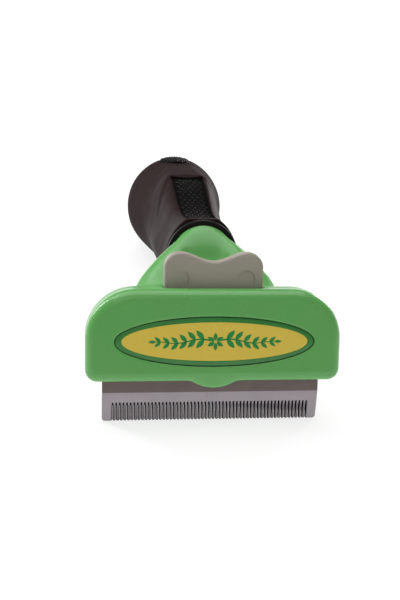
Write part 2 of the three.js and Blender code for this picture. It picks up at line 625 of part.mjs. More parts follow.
function collarRing() {
  const half = COLLAR.length / 2;
  const inner = TANG.radius + GAP;
  const { radius, edge } = COLLAR;
  const profile = [
    [inner, -half],
    [radius - edge, -half],
    [radius, -half + edge],
    [radius, half - edge],
    [radius - edge, half],
    [inner, half],
    [inner, -half],
  ];
  return turned(profile);
}

// ---------------------------------------------------------------- materials and assembly
function finish(color, roughness, metalness) {
  return () => new THREE.MeshStandardMaterial({ color, roughness, metalness });
}

const greenPlastic = finish(0x5fb558, 0.32, 0);
const labelPrint = finish(0xc9b23c, 0.35, 0);
const greyPlastic = finish(0x8b857b, 0.5, 0);
const bladeSteel = finish(0x9a9698, 0.3, 1);
const sheetSteel = finish(0xa8aaad, 0.35, 1);
const springSteel = finish(0x8d9094, 0.35, 1);
const zincSteel = finish(0xb4b6ba, 0.3, 1);
const blackPlastic = finish(0x161515, 0.5, 0);
const brownRubber = finish(0x3c3230, 0.55, 0);
const blackRubber = finish(0x121212, 0.75, 0);

function part(name, shape, makeMaterial) {
  const geometry = toGeometry(shape);
  geometry.computeVertexNormals();
  const mesh = new THREE.Mesh(geometry, makeMaterial());
  mesh.name = name;
  return mesh;
}

function placedScrew(name, shape, x, pointY, z) {
  const mesh = part(name, shape, zincSteel);
  mesh.position.set(x, pointY, z);
  return mesh;
}

const head = new THREE.Group();
head.add(
  part('head_front_shell', headFrontShell(), greenPlastic),
  part('head_rear_shell', headRearShell(), greenPlastic),
  part('label_badge', labelBadge(), labelPrint),
  part('comb_blade', combBlade(), bladeSteel),
  part('ejector_button', ejectorButton(), greyPlastic),
  part('ejector_plate', ejectorPlate(), sheetSteel),
);
for (const [name, side] of [['left', -1], ['right', 1]]) {
  head.add(
    part(`return_spring_${name}`, returnSpring(side), springSteel),
    part(`spring_guide_${name}`, guideRod(side), zincSteel),
    placedScrew(`blade_screw_${name}`, bladeScrew(), side * BLADE_SCREW.x, -3.1, BLADE_SCREW.z),
    placedScrew(`ejector_screw_${name}`, ejectorScrew(), side * EJECTOR_SCREW.x, -0.4, EJECTOR_SCREW.z),
  );
}
for (const { name, x, z } of SHELL_SCREWS) {
  head.add(placedScrew(`shell_screw_${name}`, shellScrew(), x, BACK_Y - 3.2 + GAP - SHELL_SCREW_LENGTH, z));
}

const handle = new THREE.Group();
const tangPoint = TANG_SCREW.headSeat + TANG_SCREW.length;
const tang = placedScrew('tang_screw', tangScrew(), 0, TANG_SCREW.place, tangPoint);
tang.rotation.x = -Math.PI / 2;
handle.add(
  part('collar_ring', collarRing(), blackPlastic),
  part('handle_core', handleCore(), blackPlastic),
  part('handle_grip', handleGrip(), brownRubber),
  part('grip_insert_top', gripInsertTop(), blackRubber),
  part('grip_insert_end', gripInsertEnd(), blackRubber),
  tang,
);
handle.rotation.x = THREE.MathUtils.degToRad(COLLAR.slope);
handle.position.set(0, COLLAR.y, COLLAR.z);
head.add(handle);

// The tool leans until the line from the tips to the bulb's underside is level.
const bulbY = COLLAR.y + BULB.centre * Math.cos(handle.rotation.x) - BLADE.thickness;
const bulbZ = COLLAR.z + BULB.centre * Math.sin(handle.rotation.x) - BLADE.tipZ;
const lean = Math.atan2(bulbZ, bulbY) - Math.asin(BULB.radius / Math.hypot(bulbY, bulbZ));
head.rotation.x = -lean;

const tool = new THREE.Group();
tool.add(head);
const extent = new THREE.Box3().setFromObject(tool, true);
head.position.set(0, -(extent.min.y + extent.max.y) / 2, -extent.min.z);

export default tool;
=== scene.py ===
"""Looks of the deshedding tool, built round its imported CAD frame.

Shapes are worked out in millimetres in two frames of the tool's own. In the head frame x runs across
the blade, y from the face towards the handle and z up the face. In the handle frame y runs along the
handle from the collar and z is square to it. Both are turned into the row frame, in metres.
"""

import json
import math

import bmesh
import bpy
import numpy as np
from mathutils import Matrix, Vector


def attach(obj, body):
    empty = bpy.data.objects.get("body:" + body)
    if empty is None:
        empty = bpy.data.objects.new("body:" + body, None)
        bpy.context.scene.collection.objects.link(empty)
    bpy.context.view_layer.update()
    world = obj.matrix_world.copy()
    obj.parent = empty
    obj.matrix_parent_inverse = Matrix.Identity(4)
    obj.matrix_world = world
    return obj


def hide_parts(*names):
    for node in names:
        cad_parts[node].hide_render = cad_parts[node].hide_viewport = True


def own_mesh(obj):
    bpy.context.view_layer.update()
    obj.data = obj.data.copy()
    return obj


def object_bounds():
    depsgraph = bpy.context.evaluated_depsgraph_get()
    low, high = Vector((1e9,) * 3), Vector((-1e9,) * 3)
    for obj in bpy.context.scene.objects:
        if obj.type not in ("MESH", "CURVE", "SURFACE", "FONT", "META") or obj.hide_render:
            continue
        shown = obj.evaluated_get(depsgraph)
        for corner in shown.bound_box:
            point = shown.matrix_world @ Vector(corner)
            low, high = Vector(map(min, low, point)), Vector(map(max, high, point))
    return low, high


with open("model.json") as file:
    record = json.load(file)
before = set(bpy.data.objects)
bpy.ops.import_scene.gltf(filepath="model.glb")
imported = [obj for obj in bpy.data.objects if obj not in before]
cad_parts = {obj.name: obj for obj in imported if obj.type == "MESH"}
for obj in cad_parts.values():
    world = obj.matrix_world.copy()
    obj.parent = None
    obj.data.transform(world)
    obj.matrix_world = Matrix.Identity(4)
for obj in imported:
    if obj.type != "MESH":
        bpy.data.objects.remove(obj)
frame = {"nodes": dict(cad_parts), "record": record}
cad_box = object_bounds()

# ---- dimensions, millimetres
HEAD_HALF, HEAD_BOTTOM, HEAD_TOP = 38.75, 1.1, 29.05
TOP_RADIUS, BOTTOM_RADIUS = 15.0, 3.7
FACE_Y, FACE_MOUNT_Z, BACK_Y = -7.1, 24.0, 8.3
FACE_FILLET, BACK_FILLET = 3.0, 5.8
OUTLINE_SPACING, CORNER_BLEND = 1.1, 1.6
SHELL_WALL = 2.0
CAVITY_STEP, CAVITY_FRONT, CAVITY_BACK, CAVITY_TAPER = -1.9, -4.4, 5.9, 0.2
PARTING = 0.15  # half the gap between the two shells
# the shells' edges at the gap, rounded, as (distance from the gap's middle, inset)
PARTING_EDGE = [(0.42, 0), (0.3, 0.03), (0.2, 0.12), (PARTING, 0.28)]

LABEL_HALF = (30.0, 7.35)
LABEL_FIELD = (28.1, 5.85)
LABEL_Z = 13.5
RECESS_HALF = (30.3, 7.65)
RECESS_FLOOR = -5.9
LABEL_FRONT, LABEL_BACK = -6.72, -6.2
RECESS_LIP, RECESS_LIP_END = 0.34, 0.38
STEM_START, STEM_END, STEM_WAVE, STEM_SWAY = 1.6, 18.2, 17.5, 0.75
LEAF_PAIRS, FIRST_LEAF, LEAF_SPACING = 6, 3.4, 2.6
TONGUE_DROP, TONGUE_RADIUS, TONGUE_HALF, TONGUE_HOLLOW = 2.15, 11.9, 9, 0.35  # the tab over the blade

BLADE_HALF, BLADE_TOP, BLADE_FLAT, BLADE_TIP = 33.5, 6.0, -3.4, -12.7
BLADE_THICK, TIP_THICK = 2.8, 0.45
SLOTS, SLOT_PITCH, SLOT_WIDTH, SLOT_LENGTH = 56, 1.1, 0.53, 6.1
SLOT_BACK_WIDTH, SLOT_RUNOUT = 0.06, 1.2
BLADE_CORNER, TOOTH_ROUND, TOOTH_BACK_ROUND = 0.9, 0.18, 0.32

BUTTON_HALF, BUTTON_FRONT, BUTTON_BACK = 15.1, -1.6, 3.2
HORN_Z, SADDLE_Z, HORN_X, BUTTON_FOOT = 39.8, 37.0, 10.4, 16.0
BUTTON_ROUND, BUTTON_FACE_INSET = 0.95, 1.6
MARK_X, MARK_Z, MARK_RADIUS, MARK_DEPTH = 10.0, 31.9, 2.5, 0.23
MARK_TILTS = ((-1, 2.8, 3.6), (1, -2.6, 3.2))  # side, degrees about x and about z
# the notch that the button passes through, and the mouth that the blade and the plate pass through
NOTCH_FRONT, NOTCH_BACK, NOTCH_HALF = -1.9, 3.5, 15.4
MOUTH_BACK, MOUTH_HALF = 4.6, 34.0
OPENING_STEP, OPENING_REACH = 0.06, 3  # half the width of a step at an opening's end, and its height

COLLAR_Y, COLLAR_Z, COLLAR_RADIUS, COLLAR_HALF, HANDLE_SLOPE = 27.3, 36.3, 11.75, 0.9, 7.3
COLLAR_BORE, COLLAR_EDGE = 5.7, 0.45
BULB_CENTRE, BULB_END = 96.0, 115.4
SHELL_SCREWS = {
    "left_upper": (-29, 20.5),
    "right_upper": (29, 20.5),
    "left_lower": (-31, 11.5),
    "right_lower": (31, 11.5),
}
WELL_RADIUS, WELL_MOUTH, WELL_DEPTH, WELL_EDGE = 2.9, 3.2, 3.2, 0.35
TANG_SCREW_AT, TANG_WELL_RADIUS = -4.7, 2.7
# screws as (length under the head, head radius, head height)
SHELL_SCREW_REACH, SHELL_SCREW_SIZE, TANG_SCREW_SIZE = 11.1, (8.2, 2.5, 2.0), (4.6, 2.4, 1.6)
SPRING_X, SPRING_Y, SPRING_RADIUS, SPRING_WIRE, SPRING_COILS = 20.0, 1.6, 2.05, 0.35, 7
SPRING_LOW, SPRING_HIGH, STROKE = 8.85, 23.55, 9.5

NECK_TOP_Y = [(0, 2), (0.25, 8), (0.5, 13.5), (0.7, 18.3), (0.85, 21.7), (1, 24.82)]
NECK_TOP_Z = [(0, 28.2), (0.25, 29.9), (0.5, 35.5), (0.7, 40.7), (0.85, 43.75), (1, 46.16)]
NECK_BOTTOM_Y = [(0, 2), (0.25, 9.5), (0.5, 16), (0.7, 20.8), (0.85, 24.2), (1, 27.44)]
NECK_BOTTOM_Z = [(0, 5), (0.25, 6.8), (0.5, 13), (0.7, 18.6), (0.85, 22.6), (1, 26.1)]
NECK_HALF = [
    (0, 26.6), (0.25, 26), (0.5, 22.8), (0.62, 20), (0.78, 15.5), (0.92, 11.6), (1, 10.1),
]
NECK_SQUARE = [(0, 3), (0.5, 2.6), (0.85, 2.15), (1, 2)]
NECK_SCOOP = [
    (0, 0), (0.2, 1.2), (0.35, 2.2), (0.48, 4.2), (0.58, 5),
    (0.66, 4.3), (0.75, 2.3), (0.84, 0.8), (0.92, 0.1), (1, 0),
]
SCOOP_HALF = [(0, 9.5), (0.5, 8), (0.65, 7.2), (0.8, 6.4), (0.9, 5.2), (1, 4.5)]
# where the neck grows out of the head: the foot's middle, its reach across and up, and its skirt
FOOT_Z, FOOT_REACH, SKIRT, SKIRT_SHARE = 16.5, (27.0, 12.4), 2.6, 0.45

GRIP_SIDE = [
    (0, 11.9), (10, 12), (20, 13.1), (28, 14), (42, 14.2),
    (60, 14.3), (70, 15.3), (80, 17.1), (90, 18.9), (96, 19.4),
]
GRIP_TOP = [
    (0, 12.1), (5, 11.5), (12, 11), (20, 11.6), (30, 13.6),
    (40, 16.5), (48, 18.3), (56, 18.9), (80, 19), (96, 19.4),
]
GRIP_BELLY = [(0, 12.1), (20, 14.6), (40, 16.5), (60, 18.1), (76, 19.2), (96, 19.4)]
GRIP_CHEEK = [(0, 0), (10, 1), (20, 1.8), (30, 2.1), (40, 2), (50, 1.2), (62, 0.3), (75, 0)]
GRIP_FLAT = [(0, 5), (52, 6.8), (66, 5), (96, 5)]
# the grip's turned-in lip at the collar, as (place, inset)
GRIP_LIP = [(1.2, 0.6), (1.27, 0.32), (1.42, 0.12), (1.7, 0)]
GRIP_START = 2.2
CHEEK_END = math.radians(110)
HOOD_AT, HOOD_STEP, HOOD_SOFT, HOOD_BOW = 54.0, 0.55, 1.4, (9.0, 7.5)
HOOD_SIDES = (math.radians(78), math.radians(40))
TOP_PAD = {"start": 4.4, "end": 52.0, "near": 5.0, "far": 5.9, "round": 0}
END_PAD = {"start": 86.0, "end": 108.5, "near": 6.3, "far": 6.3, "round": 4.5}
PAD_GAP, PAD_BED, PAD_LOW, PAD_BORDER = 0.22, -1.0, -0.95, 1.1
KNURL_ACROSS, KNURL_ALONG, STUD_HALF = 2.05, 4.4, (0.7, 1.35)
STUD_LEVELS = ((1.0, -0.12), (0.94, 0.3), (0.8, 0.75), (0.55, 0.95), (0.25, 1.0))  # share of its size, lift

# ---- frames
mounts = {m["name"]: m for m in frame["record"]["mounts"]}
face_at = Vector(mounts["face_front"]["pos_m"]) * 1000
along = -Vector(mounts["face_front"]["axis"])
across = Vector((1, 0, 0))
upward = across.cross(along)
origin = face_at - along * FACE_Y - upward * FACE_MOUNT_Z
HEAD = Matrix((across, along, upward)).transposed().to_4x4()
HEAD.translation = origin
COLLAR_AT = Matrix.Translation((0, COLLAR_Y, COLLAR_Z))
HANDLE = HEAD @ COLLAR_AT @ Matrix.Rotation(math.radians(HANDLE_SLOPE), 4, "X")
TO_METRES = Matrix.Diagonal((0.001, 0.001, 0.001, 1))


def smooth(stations):
    """A smooth curve through (place, value) stations, level beyond both ends."""
    places, values = zip(*stations)
    last = len(places) - 1

    def slope(i):
        a, b = max(i - 1, 0), min(i + 1, last)
        return (values[b] - values[a]) / (places[b] - places[a])

    def at(place):
        if place <= places[0]:
            return values[0]
        if place >= places[last]:
            return values[last]
        i = max(k for k in range(last) if places[k] <= place)
        span = places[i + 1] - places[i]
        u = (place - places[i]) / span
        bend = (slope(i) * (1 - u) - slope(i + 1) * u) * span * u * (1 - u)
        return values[i] + (values[i + 1] - values[i]) * u * u * (3 - 2 * u) + bend

    return at


def fade(edge0, edge1, x):
    """From 0 at one edge to 1 at the other, smoothly."""
    u = min(max((x - edge0) / (edge1 - edge0), 0.0), 1.0)
    return u * u * (3 - 2 * u)


def lerp(a, b, u):
    return a + (b - a) * u


def quarter_turn(steps):
    """Angles in even steps from 0 to a right angle."""
    return [step / steps * math.pi / 2 for step in range(steps + 1)]


# ---- meshes
def face_outwards(mesh):
    work = bmesh.new()
    work.from_mesh(mesh)
    bmesh.ops.recalc_face_normals(work, faces=work.faces)
    work.to_mesh(mesh)
    work.free()


def linked(name, data):
    """A new object in the scene's collection."""
    obj = bpy.data.objects.new(name, data)
    bpy.context.scene.collection.objects.link(obj)
    return obj


def piece(
    name, points, faces, where, paint, body="housing", stands_for=(), slot=None, sharp=35, paints=None
):
    """A closed mesh from points in millimetres in a frame, painted, riding and standing for its CAD nodes."""
    mesh = bpy.data.meshes.new(name)
    matrix = TO_METRES @ where
    mesh.from_pydata([matrix @ Vector(p) for p in points], [], faces)
    for material in paint if isinstance(paint, (list, tuple)) else [paint]:
        mesh.materials.append(material)
    if paints is not None:
        mesh.polygons.foreach_set("material_index", paints)
    mesh.validate()
    face_outwards(mesh)
    obj = linked(name, mesh)
    shade(obj, sharp)
    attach(obj, body)
    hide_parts(*(stands_for if isinstance(stands_for, (list, tuple)) else [stands_for]))
    return obj


def shade(obj, sharp):
    obj.data.shade_smooth()
    obj.data.set_sharp_from_angle(angle=math.radians(sharp))


def loft(rings, cap_start=True, cap_end=True):
    """Points and faces of a skin over closed rings that have the same number of points."""
    count = len(rings[0])
    points = [tuple(p) for ring in rings for p in ring]
    faces = []
    for r in range(len(rings) - 1):
        a, b = r * count, (r + 1) * count
        faces += [(a + i, a + (i + 1) % count, b + (i + 1) % count, b + i) for i in range(count)]
    if cap_start:
        faces.append(tuple(reversed(range(count))))
    if cap_end:
        faces.append(tuple(range((len(rings) - 1) * count, len(rings) * count)))
    return points, faces


def turned(profile, sides=96):
    """Rings of a turned shape about y, from (radius, y) points."""
    turns = [i / sides * math.tau for i in range(sides)]
    return [[(r * math.cos(a), y, r * math.sin(a)) for a in turns] for r, y in profile]


def joined(*parts):
    """Several (points, faces) as one."""
    points, faces = [], []
    for some_points, some_faces in parts:
        shift = len(points)
        points += list(some_points)
        faces += [tuple(i + shift for i in face) for face in some_faces]
    return points, faces


def carve(obj, *tools):
    """Cuts closed tools, given as (points, faces, frame), out of a piece and keeps the result as its mesh."""
    placed = [([tuple(where @ Vector(p)) for p in pts], fcs) for pts, fcs, where in tools]
    points, faces = joined(*placed)
    mesh = bpy.data.meshes.new("tool")
    mesh.from_pydata([TO_METRES @ Vector(p) for p in points], [], faces)
    face_outwards(mesh)
    tool = linked("tool", mesh)
    cut = obj.modifiers.new("cut", "BOOLEAN")
    cut.operation, cut.solver, cut.object = "DIFFERENCE", "EXACT", tool
    cut.use_self = True
    bpy.context.view_layer.update()
    made = bpy.data.meshes.new_from_object(obj.evaluated_get(bpy.context.evaluated_depsgraph_get()))
    obj.modifiers.remove(cut)
    bpy.data.objects.remove(tool)
    made.name = obj.name
    obj.data = made
    return obj


# ---- materials
def srgb(r, g, b):
    def linear(c):
        c /= 255
        return c / 12.92 if c <= 0.04045 else ((c + 0.055) / 1.055) ** 2.4

    return (linear(r), linear(g), linear(b), 1.0)


class Paint:
    """A node material on Principled BSDF, in object coordinates scaled to millimetres."""

    def __init__(self, name, metallic=0.0, **values):
        self.material = bpy.data.materials.new(name)
        self.material.use_nodes = True
        self.tree = self.material.node_tree
        self.shader = self.tree.nodes["Principled BSDF"]
        self.shader.inputs["Metallic"].default_value = metallic
        for key, value in values.items():
            self.shader.inputs[key.replace("_", " ").title().replace("Ior", "IOR")].default_value = value
        self.place = self.node("ShaderNodeTexCoord").outputs["Object"]
        self.height = None

    def node(self, kind, **inputs):
        made = self.tree.nodes.new(kind)
        for key, value in inputs.items():
            self.plug(made.inputs[key.replace("_", " ")], value)
        return made

    def plug(self, socket, value):
        if isinstance(value, bpy.types.NodeSocket):
            self.tree.links.new(value, socket)
        else:
            socket.default_value = value

    def mapped(self, stretch):
        mapping = self.node("ShaderNodeMapping")
        mapping.inputs["Scale"].default_value = [1000 * s for s in stretch]
        self.plug(mapping.inputs["Vector"], self.place)
        return mapping.outputs["Vector"]

    def noise(self, scale, detail=3.0, stretch=(1, 1, 1), rough=0.5):
        made = self.node("ShaderNodeTexNoise", Vector=self.mapped(stretch), Scale=scale, Detail=detail)
        made.inputs["Roughness"].default_value = rough
        return made.outputs["Fac"]

    def range(self, value, low, high, start=0.3, end=0.7):
        made = self.node("ShaderNodeMapRange")
        self.plug(made.inputs["Value"], value)
        for key, number in zip(("From Min", "From Max", "To Min", "To Max"), (start, end, low, high)):
            made.inputs[key].default_value = number
        return made.outputs["Result"]

    def math(self, operation, a, b):
        made = self.node("ShaderNodeMath")
        made.operation = operation
        self.plug(made.inputs[0], a)
        self.plug(made.inputs[1], b)
        return made.outputs[0]

    def along(self, where, axis):
        """Millimetres along one axis of a frame."""
        direction = where.col[axis].to_3d()
        made = self.node("ShaderNodeVectorMath")
        made.operation = "DOT_PRODUCT"
        self.plug(made.inputs[0], self.place)
        made.inputs[1].default_value = tuple(direction * 1000)
        return self.math("SUBTRACT", made.outputs["Value"], where.translation.dot(direction))

    def mix(self, factor, a, b):
        made = self.node("ShaderNodeMix")
        made.data_type = "RGBA"
        self.plug(made.inputs["Factor"], factor)
        self.plug(made.inputs[6], a)
        self.plug(made.inputs[7], b)
        return made.outputs[2]

    def color(self, value):
        self.plug(self.shader.inputs["Base Color"], value)
        return self

    def rough(self, value):
        self.plug(self.shader.inputs["Roughness"], value)
        return self

    def bump(self, value, distance):
        """Adds relief of a height in millimetres to what is there."""
        made = self.node("ShaderNodeBump")
        made.inputs["Strength"].default_value = 1.0
        made.inputs["Distance"].default_value = distance / 1000
        self.plug(made.inputs["Height"], value)
        if self.height:
            self.plug(made.inputs["Normal"], self.height)
        self.height = made.outputs["Normal"]
        self.plug(self.shader.inputs["Normal"], self.height)
        return self


def tones(base, low, high):
    """A darker and a lighter tone of a colour."""
    return [tuple(min(c * share, 1) for c in base[:3]) + (1,) for share in (low, high)]


def moulded(name, base, variation=0.05, low=0.26, high=0.36, grain=0.005, **values):
    """Injection-moulded plastic: faint flow variation, a trace of orange peel, small scuffs in the gloss."""
    paint = Paint(name, **values)
    flow = paint.range(paint.noise(0.06, 3), 0, 1)
    paint.color(paint.mix(flow, *tones(base, 1 - variation, 1 + variation)))
    scuffs = paint.range(paint.noise(2.5, 5, (1, 0.2, 0.6), 0.65), 0, 0.03, 0.5, 0.85)
    paint.rough(paint.math("ADD", paint.range(paint.noise(0.09, 2), low, high), scuffs))
    paint.bump(paint.noise(0.9, 2), grain).bump(paint.noise(7, 2), grain * 0.25)
    return paint.material


def rubber(name, base, low, high, grain=0.03, matt=0.0, **values):
    """Soft-touch elastomer: a fine grain, cloudy gloss, and extra roughness where no hand polishes it."""
    paint = Paint(name, **values)
    paint.color(paint.mix(paint.range(paint.noise(0.08, 4), 0, 1), *tones(base, 0.86, 1.16)))
    cloud = paint.range(paint.noise(0.12, 3), low, high)
    gloss = paint.math("ADD", cloud, paint.range(paint.noise(5, 2), 0, 0.06))
    if matt:
        gloss = paint.math("ADD", gloss, paint.range(paint.along(HANDLE, 1), 0, matt, *TURNS_MATT))
    paint.rough(gloss)
    paint.bump(paint.noise(5.5, 3), grain).bump(paint.noise(0.35, 2), grain * 0.8)
    return paint.material


def metal(name, base, low, high, lines=(1, 1, 1), scale=1.5, grain=0.004, contrast=0.12, worn=None):
    """Steel with fine lines from rolling or grinding, which colour, gloss and relief all follow.

    The last argument, if given, darkens it below a height in the head frame and within a distance from the
    middle, as painted shade.
    """
    paint = Paint(name, metallic=1.0)
    streaks = paint.noise(scale, 4, lines, 0.7)
    tone = paint.mix(paint.range(streaks, 0, 1), *tones(base, 1 - contrast, 1 + contrast))
    if worn:
        place = paint.node("ShaderNodeSeparateXYZ", Vector=paint.place)
        side = paint.math("ABSOLUTE", place.outputs["X"], 0.0)
        within = paint.math("LESS_THAN", side, worn["within"] / 1000)
        below = paint.range(paint.along(HEAD, 2), 1, 0, worn["below"] - 1.0, worn["below"])
        shaded_tone = tuple(c * worn["share"] for c in base[:3]) + (1,)
        tone = paint.mix(paint.math("MULTIPLY", below, within), tone, shaded_tone)
    paint.color(tone)
    polish = paint.range(paint.noise(0.2, 3), -0.03, 0.05)
    paint.rough(paint.math("ADD", paint.range(streaks, low, high), polish))
    paint.bump(streaks, grain)
    return paint.material


TURNS_MATT = (34.0, 66.0)  # where along the handle the polish ends
# painted shade: the teeth between the slots are darker from just under the slots' roots to the tips, the
# blade's ends left as they are
TEETH_SHADE = {
    "below": BLADE_TIP + SLOT_LENGTH - 0.4,
    "within": SLOTS * SLOT_PITCH / 2,
    "share": 0.6,
}
green = moulded("green_plastic", srgb(100, 173, 91), low=0.22, high=0.27, grain=0.002, variation=0.02)
yellow = moulded("label_yellow", srgb(228, 200, 76), 0.015, 0.26, 0.34, 0.004)
border = moulded("label_border", srgb(57, 133, 60), 0.08, 0.24, 0.32, 0.004)
motif = moulded("label_motif", srgb(30, 140, 66), 0.05, 0.25, 0.34, 0.003)
grey = moulded("button_grey", srgb(162, 155, 142), 0.04, 0.42, 0.55, 0.02)
black = moulded("ring_black", srgb(18, 16, 16), 0.1, 0.35, 0.5, 0.01, specular_ior_level=0.2)
core_black = moulded("core_black", srgb(34, 33, 33), 0.1, 0.5, 0.6, 0.02)
brown = rubber("grip_brown", srgb(40, 28, 27), 0.38, 0.46, 0.006, 0.2, specular_ior_level=0.03)
# the pads are one black rubber in two tones: the bed between the studs painted darker as painted shade, the
# studs painted lighter as painted light
pad_black = rubber("pad_black", srgb(11, 10, 10), 0.5, 0.6, 0.006, specular_ior_level=0.03)
stud_black = rubber("stud_black", srgb(20, 18, 18), 0.42, 0.52, 0.004, specular_ior_level=0.04)
flat_steel = metal("blade_flat", srgb(110, 100, 97), 0.34, 0.46, (0.12, 1, 3.0), 2.4, 0.003)
ground_steel = metal(
    "blade_ground", srgb(154, 146, 151), 0.3, 0.42, (4.0, 0.3, 0.25), 2.2, 0.004, 0.07, TEETH_SHADE
)
sheet_steel = metal("sheet_steel", srgb(182, 182, 184), 0.3, 0.42, (0.2, 1, 2.5), 1.6)
spring_steel = metal("spring_steel", srgb(150, 152, 156), 0.28, 0.4, (1, 1, 1), 3.0)
# the slots' walls are the blade's steel painted nearly black: painted shade inside the narrow slots
slot_shade = metal("blade_slots", srgb(24, 22, 21), 0.5, 0.6)
zinc = metal("screw_zinc", srgb(190, 192, 198), 0.24, 0.38, (1, 1, 1), 2.2, 0.006)

FINISHES = {
    "label_print": yellow,
    "head_green": green,
    "blade_steel": flat_steel,
    "sheet_steel": sheet_steel,
    "spring_steel": spring_steel,
    "screw_zinc": zinc,
    "button_grey": grey,
    "ring_black": black,
    "core_black": core_black,
    "grip_brown": brown,
    "insert_black": pad_black,
}
slot_of = {s["node"]: s["material_slot"] for s in frame["record"]["subparts"]}
for node_name, node in frame["nodes"].items():
    node.data.materials.clear()
    node.data.materials.append(FINISHES[slot_of[node_name]])
    shade(node, 30)


# ---- head outline
def outline():
    """Points round the head as (x, z, outward x, outward z), up its right side first."""
    side, top, bottom = HEAD_HALF, HEAD_TOP, HEAD_BOTTOM
    made = []

    def line(x0, z0, x1, z1, nx, nz, marks=()):
        count = max(2, round(math.hypot(x1 - x0, z1 - z0) / OUTLINE_SPACING))
        places = [i / count for i in range(count)]
        places += [(m - x0) / (x1 - x0) for m in marks]
        made.extend((lerp(x0, x1, u), lerp(z0, z1, u), nx, nz) for u in sorted(places))

    def arc(x, z, radius, start):
        count = max(10, round(radius * math.pi / 2 / OUTLINE_SPACING * 1.3))
        for i in range(count):
            a = math.radians(start + 90 * i / count)
            made.append((x + radius * math.cos(a), z + radius * math.sin(a), math.cos(a), math.sin(a)))

    def opening(half):
        """Two points close together at each end of an opening, which make its steps upright."""
        return [s * half + d for s in (-1, 1) for d in (-OPENING_STEP, OPENING_STEP)]

    line(side, bottom + BOTTOM_RADIUS, side, top - TOP_RADIUS, 1, 0)
    arc(side - TOP_RADIUS, top - TOP_RADIUS, TOP_RADIUS, 0)
    line(side - TOP_RADIUS, top, TOP_RADIUS - side, top, 0, 1, opening(NOTCH_HALF))
    arc(TOP_RADIUS - side, top - TOP_RADIUS, TOP_RADIUS, 90)
    line(-side, top - TOP_RADIUS, -side, bottom + BOTTOM_RADIUS, -1, 0)
    arc(BOTTOM_RADIUS - side, bottom + BOTTOM_RADIUS, BOTTOM_RADIUS, 180)
    line(BOTTOM_RADIUS - side, bottom, side - BOTTOM_RADIUS, bottom, 0, -1, opening(MOUTH_HALF))
    arc(side - BOTTOM_RADIUS, bottom + BOTTOM_RADIUS, BOTTOM_RADIUS, 270)
    return made


EDGE = outline()


def tongue_drop(x):
    """A round tab whose sides run into the edge through small hollows."""
    if abs(x) > TONGUE_HALF:
        return 0.0
    arc = TONGUE_DROP - TONGUE_RADIUS + math.sqrt(TONGUE_RADIUS**2 - x**2)
    return (arc + math.sqrt(arc**2 + TONGUE_HOLLOW**2)) / 2 * fade(TONGUE_HALF, TONGUE_HALF - 2, abs(x))


def in_notch(x, z):
    return abs(x) < NOTCH_HALF and z > HEAD_TOP - OPENING_REACH


def in_mouth(x, z):
    return abs(x) < MOUTH_HALF and z < HEAD_BOTTOM + OPENING_REACH


# ---- front shell
def front_shell():
    head_middle = 14  # half the head's height, which spreads the recess's points

    def edge_ring(inset, y, drop):
        """The head's outline at an inset, with a share of the tongue's drop."""
        ring = []
        for x, z, nx, nz in EDGE:
            px, pz = x - nx * inset, z - nz * inset
            if nz < -0.5 and drop:
                pz -= tongue_drop(px) * drop
            py = min(y, NOTCH_FRONT) if in_notch(x, z) else y
            ring.append((px, py, pz))
        return ring

    def oval_ring(grow, y, towards=0.0):
        """The label's recess, or a share of the way from it to the face's rounded edge."""
        ring = []
        for x, z, nx, nz in EDGE:
            phi = math.atan2((z - LABEL_Z) / head_middle, x / HEAD_HALF)
            ox = (RECESS_HALF[0] + grow) * math.cos(phi)
            oz = LABEL_Z + (RECESS_HALF[1] + grow) * math.sin(phi)
            fx, fz = x - nx * FACE_FILLET, z - nz * FACE_FILLET
            ring.append((lerp(ox, fx, towards), y, lerp(oz, fz, towards)))
        return ring

    rings = [oval_ring(0, RECESS_FLOOR), oval_ring(0, FACE_Y + RECESS_LIP_END)]
    for a in quarter_turn(4)[1:]:
        lip = RECESS_LIP * (1 - math.cos(a)), RECESS_LIP * (1 - math.sin(a))
        rings.append(oval_ring(lip[0], FACE_Y + lip[1]))
    rings += [oval_ring(RECESS_LIP, FACE_Y, u) for u in (0.08, 0.25, 0.45, 0.65, 0.85, 0.96)]
    for a in quarter_turn(12):
        inset, depth = FACE_FILLET * (1 - math.sin(a)), FACE_FILLET * (1 - math.cos(a))
        rings.append(edge_ring(inset, FACE_Y + depth, fade(0.3, 1.0, math.sin(a))))
    flank = [(3.2, 0), (2.4, 0), (1.6, 0), (0.8, 0), *PARTING_EDGE, (PARTING, SHELL_WALL)]
    rings += [edge_ring(inset, -depth, 1) for depth, inset in flank]
    rings.append(edge_ring(SHELL_WALL, CAVITY_STEP, 0.3))
    rings.append(edge_ring(SHELL_WALL + CAVITY_TAPER, CAVITY_FRONT, 0))
    return loft(rings)


piece("shell_front", *front_shell(), HEAD, green, stands_for="head_front_shell", slot="head_green", sharp=40)


# ---- rear shell with neck and scoop
neck = {
    key: smooth(stations)
    for key, stations in {
        "ty": NECK_TOP_Y, "tz": NECK_TOP_Z, "by": NECK_BOTTOM_Y, "bz": NECK_BOTTOM_Z,
        "half": NECK_HALF, "square": NECK_SQUARE, "scoop": NECK_SCOOP, "scoop_half": SCOOP_HALF,
    }.items()
}


def neck_point(s, a):
    """A point on the neck at a station, at an angle from its left side over the top."""
    bottom = np.array((neck["by"](s), neck["bz"](s)))
    top = np.array((neck["ty"](s), neck["tz"](s)))
    half = (top - bottom) / 2
    height = float(np.hypot(*half))
    up = half / height
    power = 2 / neck["square"](s)
    c, sn = math.cos(a), math.sin(a)
    x = -math.copysign(neck["half"](s) * abs(c) ** power, c)
    lift = math.copysign(height * abs(sn) ** power, sn)
    upper = max(lift / height, 0) ** 2
    dish = neck["scoop"](s) * math.exp(-abs(x / neck["scoop_half"](s)) ** 4) * upper
    y, z = (bottom + top) / 2 + up * (lift - dish)
    return np.array((x, y, z))


